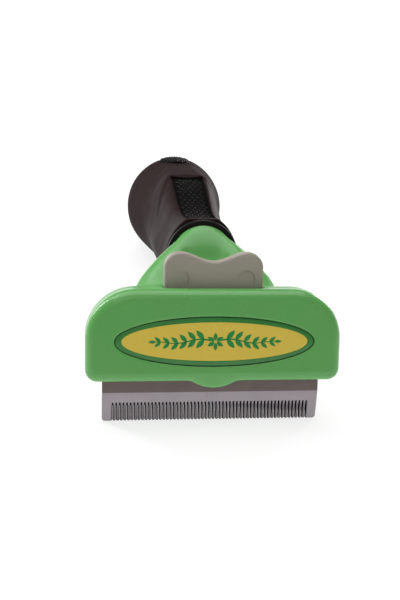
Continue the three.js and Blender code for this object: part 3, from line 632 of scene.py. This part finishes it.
def depth_inside(x, z):
    """How far a point of the head's silhouette lies inside its edge."""
    ax = abs(x)
    if ax > HEAD_HALF - TOP_RADIUS and z > HEAD_TOP - TOP_RADIUS:
        return TOP_RADIUS - math.hypot(ax - HEAD_HALF + TOP_RADIUS, z - HEAD_TOP + TOP_RADIUS)
    if ax > HEAD_HALF - BOTTOM_RADIUS and z < HEAD_BOTTOM + BOTTOM_RADIUS:
        corner = math.hypot(ax - HEAD_HALF + BOTTOM_RADIUS, z - HEAD_BOTTOM - BOTTOM_RADIUS)
        return BOTTOM_RADIUS - corner
    a, b = HEAD_HALF - ax, min(HEAD_TOP - z, z - HEAD_BOTTOM)
    low = min(a, b)
    # the crease where the two distances meet is rounded off
    round_off = max(CORNER_BLEND - abs(a - b), 0) ** 2 / (4 * CORNER_BLEND)
    return low - round_off * fade(BOTTOM_RADIUS, BACK_FILLET, low)


def back_surface(x, z):
    """Where the head's back lies, its edge rounded."""
    depth = depth_inside(x, z)
    if depth >= BACK_FILLET:
        return BACK_Y
    reach = BACK_FILLET - max(depth, 0)
    return BACK_Y - BACK_FILLET + math.sqrt(BACK_FILLET**2 - reach**2)


def rear_shell():
    """Columns of points from the cavity round the edge, across the back and up the neck, skinned."""
    back_rings, blend_rings, neck_rings, halvings = 20, 8, 34, 30
    columns = []
    for x, z, nx, nz in EDGE:
        # the neck's angle that faces this point of the edge
        a = math.atan2((z - FOOT_Z) / FOOT_REACH[1], -x / FOOT_REACH[0])

        def buried(s, a=a):
            px, py, pz = neck_point(s, a)
            return depth_inside(px, pz) > 0 and py < back_surface(px, pz)

        # the station where the neck comes out of the back, by halving
        low, high = 0.0, 0.6
        for _ in range(halvings):
            middle = (low + high) / 2
            low, high = (middle, high) if buried(middle) else (low, middle)
        crossing = neck_point(low, a)
        base = np.array((crossing[0], crossing[2]))
        rim = np.array((x, z))
        start_y = NOTCH_BACK if in_notch(x, z) else MOUTH_BACK if in_mouth(x, z) else PARTING
        width = float(np.hypot(*(base - rim)))
        skirt = min(SKIRT, width * SKIRT_SHARE)
        column = []
        # over the rounded edge and across the back, to where the neck's foot begins
        reach = (width - skirt) / max(width, 1e-6)
        for turn in quarter_turn(back_rings - 1):
            px, pz = lerp(rim, base, (1 - math.cos(turn)) * reach)
            py = back_surface(px, pz)
            if py < start_y:
                into_fillet = start_y - BACK_Y + BACK_FILLET
                inset = BACK_FILLET - math.sqrt(max(BACK_FILLET**2 - into_fillet**2, 0))
                px, pz, py = x - nx * inset, z - nz * inset, start_y
            column.append(np.array((px, py, pz)))
        foot = column[-1]
        rise = min(0.075, (0.95 - low) * 0.3)
        onto = neck_point(low + rise, a)
        for k in range(1, blend_rings + 1):
            w = k / blend_rings
            column.append((1 - w) ** 2 * foot + 2 * w * (1 - w) * crossing + w * w * onto)
        for k in range(1, neck_rings + 1):
            column.append(neck_point(lerp(low + rise, 1.0, k / neck_rings), a))
        # the parting edge and the cavity behind it
        outward = np.array((nx, 0, nz))
        if start_y == PARTING:
            lead = [(CAVITY_BACK, SHELL_WALL), (PARTING, SHELL_WALL), *reversed(PARTING_EDGE), (1.5, 0)]
            lead = [np.array((x - nx * inset, y, z - nz * inset)) for y, inset in lead]
        else:
            lead = [np.array((x, y, z)) - outward * SHELL_WALL for y in (CAVITY_BACK, start_y)]
            lead += [column[0] - outward * inset for inset in (1.2, 0.6, 0.3, 0.12, 0.04)]
        columns.append(lead + column)
    rings = [[column[k] for column in columns] for k in range(len(columns[0]))]
    # a turned-in rim at the collar, closed behind the ring
    mouth = rings[-1]
    middle = sum(mouth) / len(mouth)
    rings += [[middle + (p - middle) * share for p in mouth] for share in (0.985, 0.9, 0.55)]
    return loft(rings)


def screw_tools():
    """The wells that the shell screws' heads and the tang screw's head sit in."""
    tools = []
    for x, z in SHELL_SCREWS.values():
        profile = [(WELL_RADIUS, BACK_Y - WELL_DEPTH), (WELL_RADIUS, BACK_Y - WELL_EDGE)]
        profile += [(WELL_MOUTH, BACK_Y), (WELL_MOUTH, BACK_Y + 2)]
        tools.append((*loft(turned(profile, 48)), HEAD @ Matrix.Translation((x, 0, z))))
    seat = [(TANG_WELL_RADIUS, -20), (TANG_WELL_RADIUS, -7.2)]
    upright = HANDLE @ Matrix.Translation((0, TANG_SCREW_AT, 0)) @ Matrix.Rotation(math.pi / 2, 4, "X")
    tools.append((*loft(turned(seat, 48)), upright))
    return tools


rear = piece(
    "shell_rear", *rear_shell(), HEAD, green, stands_for="head_rear_shell", slot="head_green", sharp=40
)
carve(rear, *screw_tools())
shade(rear, 40)


# ---- label and its ornament
def oval(half, y, count=160):
    turns = [i / count * math.tau for i in range(count)]
    return [(half[0] * math.cos(a), y, LABEL_Z + half[1] * math.sin(a)) for a in turns]


def label():
    rim = [(LABEL_HALF[0] - d, LABEL_HALF[1] - d) for d in (0.18, 0.05, 0)]
    rings = [oval(LABEL_FIELD, LABEL_FRONT), oval([h + 0.05 for h in LABEL_FIELD], LABEL_FRONT)]
    rings += [oval(rim[0], LABEL_FRONT), oval(rim[1], LABEL_FRONT + 0.06), oval(rim[2], LABEL_FRONT + 0.2)]
    rings.append(oval(rim[2], LABEL_BACK))
    points, faces = loft(rings)
    # the field inside the border is the cap over the first ring
    paints = [1] * len(faces)
    paints[-2] = 0
    return points, faces, paints


points, faces, paints = label()
piece(
    "label_plate", points, faces, HEAD, [yellow, border],
    stands_for="label_badge", slot="label_print", paints=paints,
)


def flat_shape(outline_xz, y0, y1):
    return loft([[(x, y0, z) for x, z in outline_xz], [(x, y1, z) for x, z in outline_xz]])


def leaf(x, z, turn, length, width, count=28):
    """A pointed leaf from its stalk, turned from the x axis."""
    c, s = math.cos(turn), math.sin(turn)
    made = []
    for i in range(count):
        u = i / count * math.tau
        share = (1 - math.cos(u)) / 2
        lx, lz = share * length, math.sin(u) * math.sin(math.pi * share**0.8) ** 0.6 * width / 2
        made.append((x + lx * c - lz * s, z + lx * s + lz * c))
    return made


def sprig():
    """A plain trailing stem with paired leaves, drawn symmetrically from the middle of the label."""
    front, back = LABEL_FRONT - 0.035, LABEL_FRONT + 0.01
    stem_steps, petals, petal_start = 40, 6, 0.35

    def stem(x):
        sway = STEM_SWAY * math.sin(abs(x) / STEM_WAVE * math.tau)
        return LABEL_Z + sway * fade(19, 8, abs(x))

    shapes = []
    for side in (-1, 1):
        shares = [i / stem_steps for i in range(stem_steps + 1)]
        edges = [(side * lerp(STEM_START, STEM_END, u), lerp(0.26, 0.1, u)) for u in shares]
        upper = [(x, stem(x) + half) for x, half in edges]
        lower = [(x, stem(x) - half) for x, half in edges]
        shapes.append(flat_shape(upper + lower[::-1], front, back))
        for k in range(LEAF_PAIRS):
            x = side * (FIRST_LEAF + LEAF_SPACING * k)
            size = lerp(3.7, 2.4, k / (LEAF_PAIRS - 1))
            for lean in (-1, 1):
                turn = lean * math.radians(48 - 2 * k)
                turn = turn if side > 0 else math.pi - turn
                shapes.append(flat_shape(leaf(x, stem(x), turn, size, size * 0.42), front, back))
        tip = side * (STEM_END - 0.3)
        last = leaf(tip, stem(tip), 0 if side > 0 else math.pi, 2.3, 0.95)
        shapes.append(flat_shape(last, front, back))
    for k in range(petals):
        turn = math.radians(60 * k + 30)
        stalk = petal_start * math.cos(turn), LABEL_Z + petal_start * math.sin(turn)
        shapes.append(flat_shape(leaf(*stalk, turn, 2.4, 1.25), front - 0.005, back))
    return joined(*shapes)


piece("label_sprig", *sprig(), HEAD, motif, slot="label_print")


# ---- blade
def comb():
    slope = (BLADE_THICK - TIP_THICK) / (BLADE_FLAT - BLADE_TIP)
    corner = BLADE_CORNER

    def arc(x, z, radius, start, end, count):
        turns = [math.radians(lerp(start, end, i / count)) for i in range(count + 1)]
        return [(x + radius * math.cos(a), z + radius * math.sin(a)) for a in turns]

    def edge(half_slot, root, tip):
        """The blade's outline, with slots of half a width up to a root and rounded tips between them."""
        made = [(-BLADE_HALF, BLADE_TOP), (-BLADE_HALF, BLADE_FLAT)]
        made += arc(-BLADE_HALF + corner, BLADE_TIP + corner, corner, 180, 270, 6)
        for i in range(SLOTS):
            x = (i - (SLOTS - 1) / 2) * SLOT_PITCH
            made += arc(x - half_slot - tip, BLADE_TIP + tip, tip, 270, 360, 3)
            made += arc(x, root, half_slot, 180, 0, 8)
            made += arc(x + half_slot + tip, BLADE_TIP + tip, tip, 180, 270, 3)
        made += arc(BLADE_HALF - corner, BLADE_TIP + corner, corner, 270, 360, 6)
        return [*made, (BLADE_HALF, BLADE_FLAT), (BLADE_HALF, BLADE_TOP)]

    root = BLADE_TIP + SLOT_LENGTH - SLOT_WIDTH / 2
    front_edge = edge(SLOT_WIDTH / 2, root, TOOTH_ROUND)
    back_edge = edge(SLOT_BACK_WIDTH / 2, root - SLOT_RUNOUT, TOOTH_BACK_ROUND)
    count = len(front_edge)
    front = [(x, max(0.0, (BLADE_FLAT - z) * slope), z) for x, z in front_edge]
    back = [(x, BLADE_THICK, z) for x, z in back_edge]
    # the flat, the ground bevel and the back, then the walls, of which those between the sides are slots
    faces = [(0, 1, count - 2, count - 1), tuple(range(1, count - 1))]
    faces.append(tuple(reversed(range(count, 2 * count))))
    faces += [(i, (i + 1) % count, count + (i + 1) % count, count + i) for i in range(count)]
    slots = range(3, count - 9)
    paints = [0, 1, 0] + [2 if i in slots else 0 for i in range(count)]
    return front + back, faces, paints


points, faces, paints = comb()
piece(
    "comb", points, faces, HEAD, [flat_steel, ground_steel, slot_shade],
    stands_for="comb_blade", slot="blade_steel", sharp=20, paints=paints,
)


# ---- thumb button
def button():
    """Its outline, foot first, then the two horns with the saddle between them, rounded at both faces."""
    horn = BUTTON_HALF - HORN_X
    foot_steps, side_steps, horn_steps, saddle_steps = 16, 14, 16, 48
    shape = [(lerp(-BUTTON_HALF, BUTTON_HALF, i / foot_steps), BUTTON_FOOT) for i in range(foot_steps)]
    shape += [(BUTTON_HALF, lerp(BUTTON_FOOT, HORN_Z - horn, i / side_steps)) for i in range(side_steps)]
    for i in range(horn_steps):
        a = i / horn_steps * math.pi / 2
        shape.append((HORN_X + horn * math.cos(a), HORN_Z - horn + horn * math.sin(a)))
    for i in range(saddle_steps + 1):
        x = lerp(HORN_X, -HORN_X, i / saddle_steps)
        shape.append((x, HORN_Z - (HORN_Z - SADDLE_Z) * (1 + math.cos(x / HORN_X * math.pi)) / 2))
    for i in range(1, horn_steps + 1):
        a = math.pi / 2 * (1 + i / horn_steps)
        shape.append((-HORN_X + horn * math.cos(a), HORN_Z - horn + horn * math.sin(a)))
    shape += [(-BUTTON_HALF, lerp(HORN_Z - horn, BUTTON_FOOT, i / side_steps)) for i in range(1, side_steps)]
    ring = np.array(shape)
    ahead, behind = np.roll(ring, -1, axis=0), np.roll(ring, 1, axis=0)
    tangent = (ahead - behind) / np.linalg.norm(ahead - behind, axis=1)[:, None]
    normal = np.stack((tangent[:, 1], -tangent[:, 0]), axis=1)

    def level(inset, y):
        return [(x, y, z) for x, z in ring - normal * inset]

    turns = quarter_turn(6)
    rounding = [(BUTTON_ROUND * (1 - math.sin(a)), BUTTON_ROUND * (1 - math.cos(a))) for a in turns]
    rings = [level(BUTTON_FACE_INSET, BUTTON_FRONT)]
    rings += [level(inset, BUTTON_FRONT + depth) for inset, depth in rounding]
    rings += [level(0, y) for y in (0.4, 1.4)]
    rings += [level(inset, BUTTON_BACK - depth) for inset, depth in reversed(rounding)]
    return loft(rings)


def mark_tools():
    """Shallow round dimples, each a little deeper at one side, as ejector pins leave them."""
    tools = []
    for side, tilt_x, tilt_z in MARK_TILTS:
        profile = [(MARK_RADIUS, -2), (MARK_RADIUS, MARK_DEPTH)]
        about_x = Matrix.Rotation(math.radians(tilt_x), 4, "X")
        turn = about_x @ Matrix.Rotation(math.radians(tilt_z), 4, "Z")
        at = Matrix.Translation((side * MARK_X, BUTTON_FRONT, MARK_Z))
        tools.append((*loft(turned(profile, 64)), HEAD @ at @ turn))
    return tools


thumb = piece(
    "thumb_button", *button(), HEAD, grey,
    body="ejector", stands_for="ejector_button", slot="button_grey", sharp=40,
)
carve(thumb, *mark_tools())
shade(thumb, 25)


# ---- collar ring
def collar():
    edge = COLLAR_EDGE
    profile = [(COLLAR_BORE, -COLLAR_HALF), (COLLAR_BORE, COLLAR_HALF)]
    for centre_y, start in ((COLLAR_HALF - edge, 90), (edge - COLLAR_HALF, 0)):
        for fall in range(0, 91, 15):
            a = math.radians(start - fall)
            profile.append((COLLAR_RADIUS - edge + edge * math.cos(a), centre_y + edge * math.sin(a)))
    rings = turned(profile, 128)
    return loft(rings + rings[:1], False, False)


piece("ring", *collar(), HANDLE, black, stands_for="collar_ring", slot="ring_black")


# ---- grip
grip = {
    key: smooth(stations)
    for key, stations in {
        "side": GRIP_SIDE, "top": GRIP_TOP, "belly": GRIP_BELLY, "cheek": GRIP_CHEEK, "flat": GRIP_FLAT,
    }.items()
}


def closing(t):
    """The share of its girth that the bulb keeps towards its end."""
    if t <= BULB_CENTRE:
        return 1.0
    u = min((t - BULB_CENTRE) / (BULB_END - BULB_CENTRE), 1.0)
    return math.sqrt(1 - u * u)


def skin_reach(t, turn):
    """How far the grip's skin lies from the handle's axis, at an angle from the top."""
    close = closing(t)
    side, top = grip["side"](t) * close, grip["top"](t) * close
    level = top if turn < math.pi / 2 else grip["belly"](t) * close
    power = 2 if turn < math.pi / 2 else 2.15
    share = (abs(math.sin(turn)) / side) ** power + (abs(math.cos(turn)) / level) ** power
    oval_reach = share ** (-1 / power)
    flat = math.atan2(grip["flat"](t) * close, top)
    if turn < flat:
        made = top / math.cos(turn)
    elif turn > CHEEK_END:
        made = oval_reach
    else:
        u = (turn - flat) / (CHEEK_END - flat)
        over = top / math.cos(flat) - 1 / math.hypot(math.sin(flat) / side, math.cos(flat) / top)
        made = oval_reach + over * (1 - u) ** 3 - grip["cheek"](t) * math.sin(math.pi * u) ** 2
    # the hood: the bulb's skin stands a step above the flat that holds the pad
    x = made * math.sin(turn)
    edge = HOOD_AT - (x / HOOD_BOW[0]) ** 2 * HOOD_BOW[1]
    sink = HOOD_STEP * fade(edge + HOOD_SOFT, edge - HOOD_SOFT, t) * fade(*HOOD_SIDES, turn)
    return made - sink * fade(6, 24, t)


def crest(t):
    """The height of the grip's top above the handle's axis."""
    return skin_reach(t, 0.0)


def grip_skin():
    count, length_steps, end_steps = 152, 104, 26
    places = list(GRIP_LIP)
    places += [(lerp(GRIP_START, BULB_CENTRE, i / length_steps), 0) for i in range(length_steps + 1)]
    for a in quarter_turn(end_steps)[1:]:
        places.append((BULB_CENTRE + (BULB_END - BULB_CENTRE) * math.sin(a * 0.995), 0))
    rings = []
    for t, inset in places:
        ring = []
        for i in range(count):
            turn = i / count * math.tau
            r = skin_reach(t, math.tau - turn if turn > math.pi else turn) - inset
            ring.append((r * math.sin(turn), t, r * math.cos(turn)))
        rings.append(ring)
    return loft(rings)


def pad_half(pad, t):
    """Half a pad's width, less towards its ends where those are round."""
    half = lerp(pad["near"], pad["far"], (t - pad["start"]) / (pad["end"] - pad["start"]))
    if not pad["round"]:
        return half
    short = 1 - max(min(t - pad["start"], pad["end"] - t), 0) / pad["round"]
    return half * (1 - 0.42 * max(short, 0) ** 2)


def strip(pad, grow, low, high, crown=0.0):
    """A bar along the grip's crest, of a pad's outline grown, between two levels above the crest."""
    steps = 44
    rings = []
    for i in range(steps + 1):
        t = lerp(pad["start"] - grow, pad["end"] + grow, i / steps)
        half = pad_half(pad, t) + grow
        level = crest(t)
        upper = [(u * half, t, level + high - crown * u * u) for u in [k / 6 - 1 for k in range(13)]]
        rings.append([(-half, t, level + low), *upper, (half, t, level + low)])
    return loft(rings)


skin = piece("grip_skin", *grip_skin(), HANDLE, brown, stands_for="handle_grip", slot="grip_brown", sharp=50)
carve(skin, *[(*strip(pad, PAD_GAP, PAD_BED, 4), HANDLE) for pad in (TOP_PAD, END_PAD)])
shade(skin, 40)


def stud(pad, centre_x, centre_t, base, height, crown):
    """One diamond stud, kept within its pad."""
    rings = []
    for share, lift in STUD_LEVELS:
        ring = []
        for k in range(12):
            a = k / 12 * math.tau
            c, s = math.cos(a), math.sin(a)
            size = 1 / (abs(c) ** 1.2 / STUD_HALF[0] + abs(s) ** 1.2 / STUD_HALF[1])
            x, t = centre_x + c * size * share, centre_t + s * size * share
            edge = pad_half(pad, t) - 0.05
            x = max(-edge, min(edge, x))
            t = max(pad["start"] + 0.05, min(pad["end"] - 0.05, t))
            drop = crown * (x / pad_half(pad, t)) ** 2
            ring.append((x, t, crest(t) + base + lift * height - drop))
        rings.append(ring)
    return loft(rings)


def knurl(pad, base, height, crown):
    """Staggered diamond studs over a pad."""
    rows = int((pad["end"] - pad["start"] - 1.6) / (KNURL_ALONG / 2))
    first = (pad["start"] + pad["end"]) / 2 - (rows - 1) * KNURL_ALONG / 4
    made = []
    for row in range(rows):
        t = first + row * KNURL_ALONG / 2
        shift = 0.5 if row % 2 else 0.0
        for column in range(-4, 5):
            x = (column + shift) * KNURL_ACROSS
            if abs(x) + PAD_BORDER <= pad_half(pad, t):
                made.append(stud(pad, x, t, base, height, crown))
    return made


for name, pad, base, height, crown, node_name in (
    ("pad_top", TOP_PAD, -0.66, 0.42, 0.0, "grip_insert_top"),
    ("pad_end", END_PAD, 0.6, 0.55, 1.25, "grip_insert_end"),
):
    ground = strip(pad, 0, PAD_LOW, base, crown)
    points, faces = joined(ground, *knurl(pad, base, height, crown))
    # the studs take the lighter tone and the bed between them the darker: painted light and painted shade
    paints = [int(i >= len(ground[1])) for i in range(len(faces))]
    piece(
        name, points, faces, HANDLE, [pad_black, stud_black],
        stands_for=node_name, slot="insert_black", sharp=45, paints=paints,
    )


# ---- screws and springs
def pan_screw(name, where, length, radius, height, node_name):
    """A screw along y from its tip, with a domed head and a tapering cross recess."""
    tip, shank, rim = 0.05, 1.1, 0.4  # rim is the share of the head's height that stands upright
    top = length + height
    profile = [(tip, 0), (0.6, 0.25), (shank, 1.2), (shank, length), (radius - 0.1, length)]
    profile.append((radius, length + 0.12))
    for a in quarter_turn(6):
        spread = radius * (0.55 + 0.45 * math.cos(a))
        profile.append((spread, length + height * (rim + (1 - rim) * math.sin(a))))
    profile.append((tip, top))
    rings = turned(profile, 48)
    made = piece(name, *loft(rings), where, zinc, stands_for=node_name, slot="screw_zinc", sharp=35)
    arm, wide = radius * 0.56, 0.3
    cross = []
    for turn in (0, 90):
        corners = [(-arm, -wide), (arm, -wide), (arm, wide), (-arm, wide)]
        rings = [[(x * 0.5, top - height * 0.65, z * 0.6) for x, z in corners]]
        rings += [[(x, top + above, z) for x, z in corners] for above in (0.05, 1)]
        cross.append((*loft(rings), where @ Matrix.Rotation(math.radians(turn), 4, "Y")))
    carve(made, *cross)
    shade(made, 30)


for name, (x, z) in SHELL_SCREWS.items():
    # each is turned in to where its thread happened to stop
    twist = Matrix.Rotation(math.radians(17 * x + 9 * z), 4, "Y")
    where = HEAD @ Matrix.Translation((x, BACK_Y - SHELL_SCREW_REACH, z)) @ twist
    pan_screw(f"screw_{name}", where, *SHELL_SCREW_SIZE, f"shell_screw_{name}")
upright = HANDLE @ Matrix.Translation((0, TANG_SCREW_AT, -2.9)) @ Matrix.Rotation(-math.pi / 2, 4, "X")
pan_screw("screw_tang", upright, *TANG_SCREW_SIZE, "tang_screw")


def coil():
    """A spring whose end coils lie closer than those between."""
    rings = []
    count = SPRING_COILS * 26
    for i in range(count + 1):
        u = i / count
        turn = u * SPRING_COILS * math.tau
        z = lerp(SPRING_LOW, SPRING_HIGH, u - math.sin(u * math.tau) / (math.pi * 2.6))
        c, s = math.cos(turn), math.sin(turn)
        ring = []
        for k in range(10):
            a = k / 10 * math.tau
            r = SPRING_RADIUS + SPRING_WIRE * math.cos(a)
            ring.append((r * c, r * s, z + SPRING_WIRE * math.sin(a)))
        rings.append(ring)
    return loft(rings)


for name, side in (("left", -1), ("right", 1)):
    at = HEAD @ Matrix.Translation((side * SPRING_X, SPRING_Y, 0))
    spring = piece(
        f"spring_{name}", *coil(), at, spring_steel, stands_for=f"return_spring_{name}", slot="spring_steel"
    )
    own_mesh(spring)


# ---- floor, light, camera
FLOOR_HALF, FLOOR_CELLS, FLOOR_GLOW = 3.0, 24, 0.75  # metres, squares along a side, emission
FLOOR_TONES = ((0.3, 0.3, 0.3, 1), (0.32, 0.32, 0.32, 1))
ROOM_LIGHT, HORIZON_LIGHT, HORIZON_BAND = 0.15, 0.9, (0.03, 0.12)
# softboxes as place, size, watts, tint and, where it isn't the tool's middle, aim, in metres
SOFTBOXES = {
    "overhead": ((0.0, 0.35, 1.6), (1.8, 1.8), 21.0, (1, 1, 1), (0, 0.3, 0)),
    "key": ((-0.75, 0.5, 0.45), (0.14, 0.55), 4.6, (1, 1, 1), None),
    "strip": ((-0.62, 0.37, 0.94), (0.18, 0.5), 1.6, (1, 1, 1), None),
    "right": ((0.7, 0.75, 0.22), (0.3, 0.4), 5.0, (1, 0.93, 0.95), None),
    "fill": ((-0.15, -0.85, 0.8), (0.5, 0.5), 0.8, (1, 1, 1), None),
}
CAMERA_TILT, CAMERA_TURN = math.radians(8), math.radians(7.4)
CAMERA_LENS, CAMERA_SENSOR, CAMERA_CLIP = 58.5, 36, (0.02, 20)
CAMERA_AT = (-42.15, -290.69, 66.0)  # in the head frame


def paper_floor():
    count = FLOOR_CELLS
    grid = [lerp(-FLOOR_HALF, FLOOR_HALF, i / count) for i in range(count + 1)]
    corners = [(r * (count + 1) + c, (r + 1) * (count + 1) + c) for r in range(count) for c in range(count)]
    mesh = bpy.data.meshes.new("floor")
    points, faces = [(x, y, 0.0) for y in grid for x in grid], [(a, a + 1, b + 1, b) for a, b in corners]
    mesh.from_pydata(points, [], faces)
    paper = Paint("floor_paper", roughness=0.9, emission_color=(1, 1, 1, 1), emission_strength=FLOOR_GLOW)
    paper.color(paper.mix(paper.range(paper.noise(0.01, 2), 0, 1), *FLOOR_TONES))
    mesh.materials.append(paper.material)
    floor = linked("floor", mesh)


def room():
    """A band behind the paper's far edge, nearly as bright, and a darker room above it."""
    world = bpy.data.worlds.new("studio")
    bpy.context.scene.world = world
    world.use_nodes = True
    nodes, links = world.node_tree.nodes, world.node_tree.links
    direction = nodes.new("ShaderNodeTexCoord")
    split = nodes.new("ShaderNodeSeparateXYZ")
    links.new(direction.outputs["Generated"], split.inputs[0])
    band = nodes.new("ShaderNodeMapRange")
    band.interpolation_type = "SMOOTHSTEP"
    links.new(split.outputs["Z"], band.inputs["Value"])
    limits = (*HORIZON_BAND, HORIZON_LIGHT, ROOM_LIGHT)
    for key, number in zip(("From Min", "From Max", "To Min", "To Max"), limits):
        band.inputs[key].default_value = number
    background = nodes["Background"]
    background.inputs["Color"].default_value = (1, 1, 1, 1)
    links.new(band.outputs["Result"], background.inputs["Strength"])


def softbox(name, place, size, watts, tint, aim):
    light = bpy.data.lights.new(name, "AREA")
    light.shape, light.size, light.size_y = "RECTANGLE", size[0], size[1]
    light.energy, light.color = watts, tint
    lamp = linked(name, light)
    lamp.location = place
    lamp.rotation_mode = "QUATERNION"
    lamp.rotation_quaternion = (aim - Vector(place)).to_track_quat("-Z", "Y")


def camera():
    lens = bpy.data.cameras.new("camera")
    lens.lens, lens.sensor_width, lens.sensor_fit = CAMERA_LENS, CAMERA_SENSOR, "AUTO"
    lens.clip_start, lens.clip_end = CAMERA_CLIP
    made = linked("camera", lens)
    level = math.cos(CAMERA_TURN)
    ahead = Vector((math.sin(CAMERA_TURN), level * math.cos(CAMERA_TILT), -level * math.sin(CAMERA_TILT)))
    up = Vector((0, math.sin(CAMERA_TILT), math.cos(CAMERA_TILT)))
    axes = Matrix((ahead.cross(up), up, -ahead)).transposed().to_4x4()
    made.matrix_world = TO_METRES @ HEAD @ Matrix.Translation(CAMERA_AT) @ axes
    made.scale = (1, 1, 1)
    bpy.context.scene.camera = made


paper_floor()
room()
middle = sum((Vector(corner) for corner in cad_box), Vector()) / 2
for name, (place, size, watts, tint, aim) in SOFTBOXES.items():
    softbox(name, place, size, watts, tint, Vector(aim) if aim else middle)
camera()
bpy.context.scene.view_settings.view_transform = "Standard"
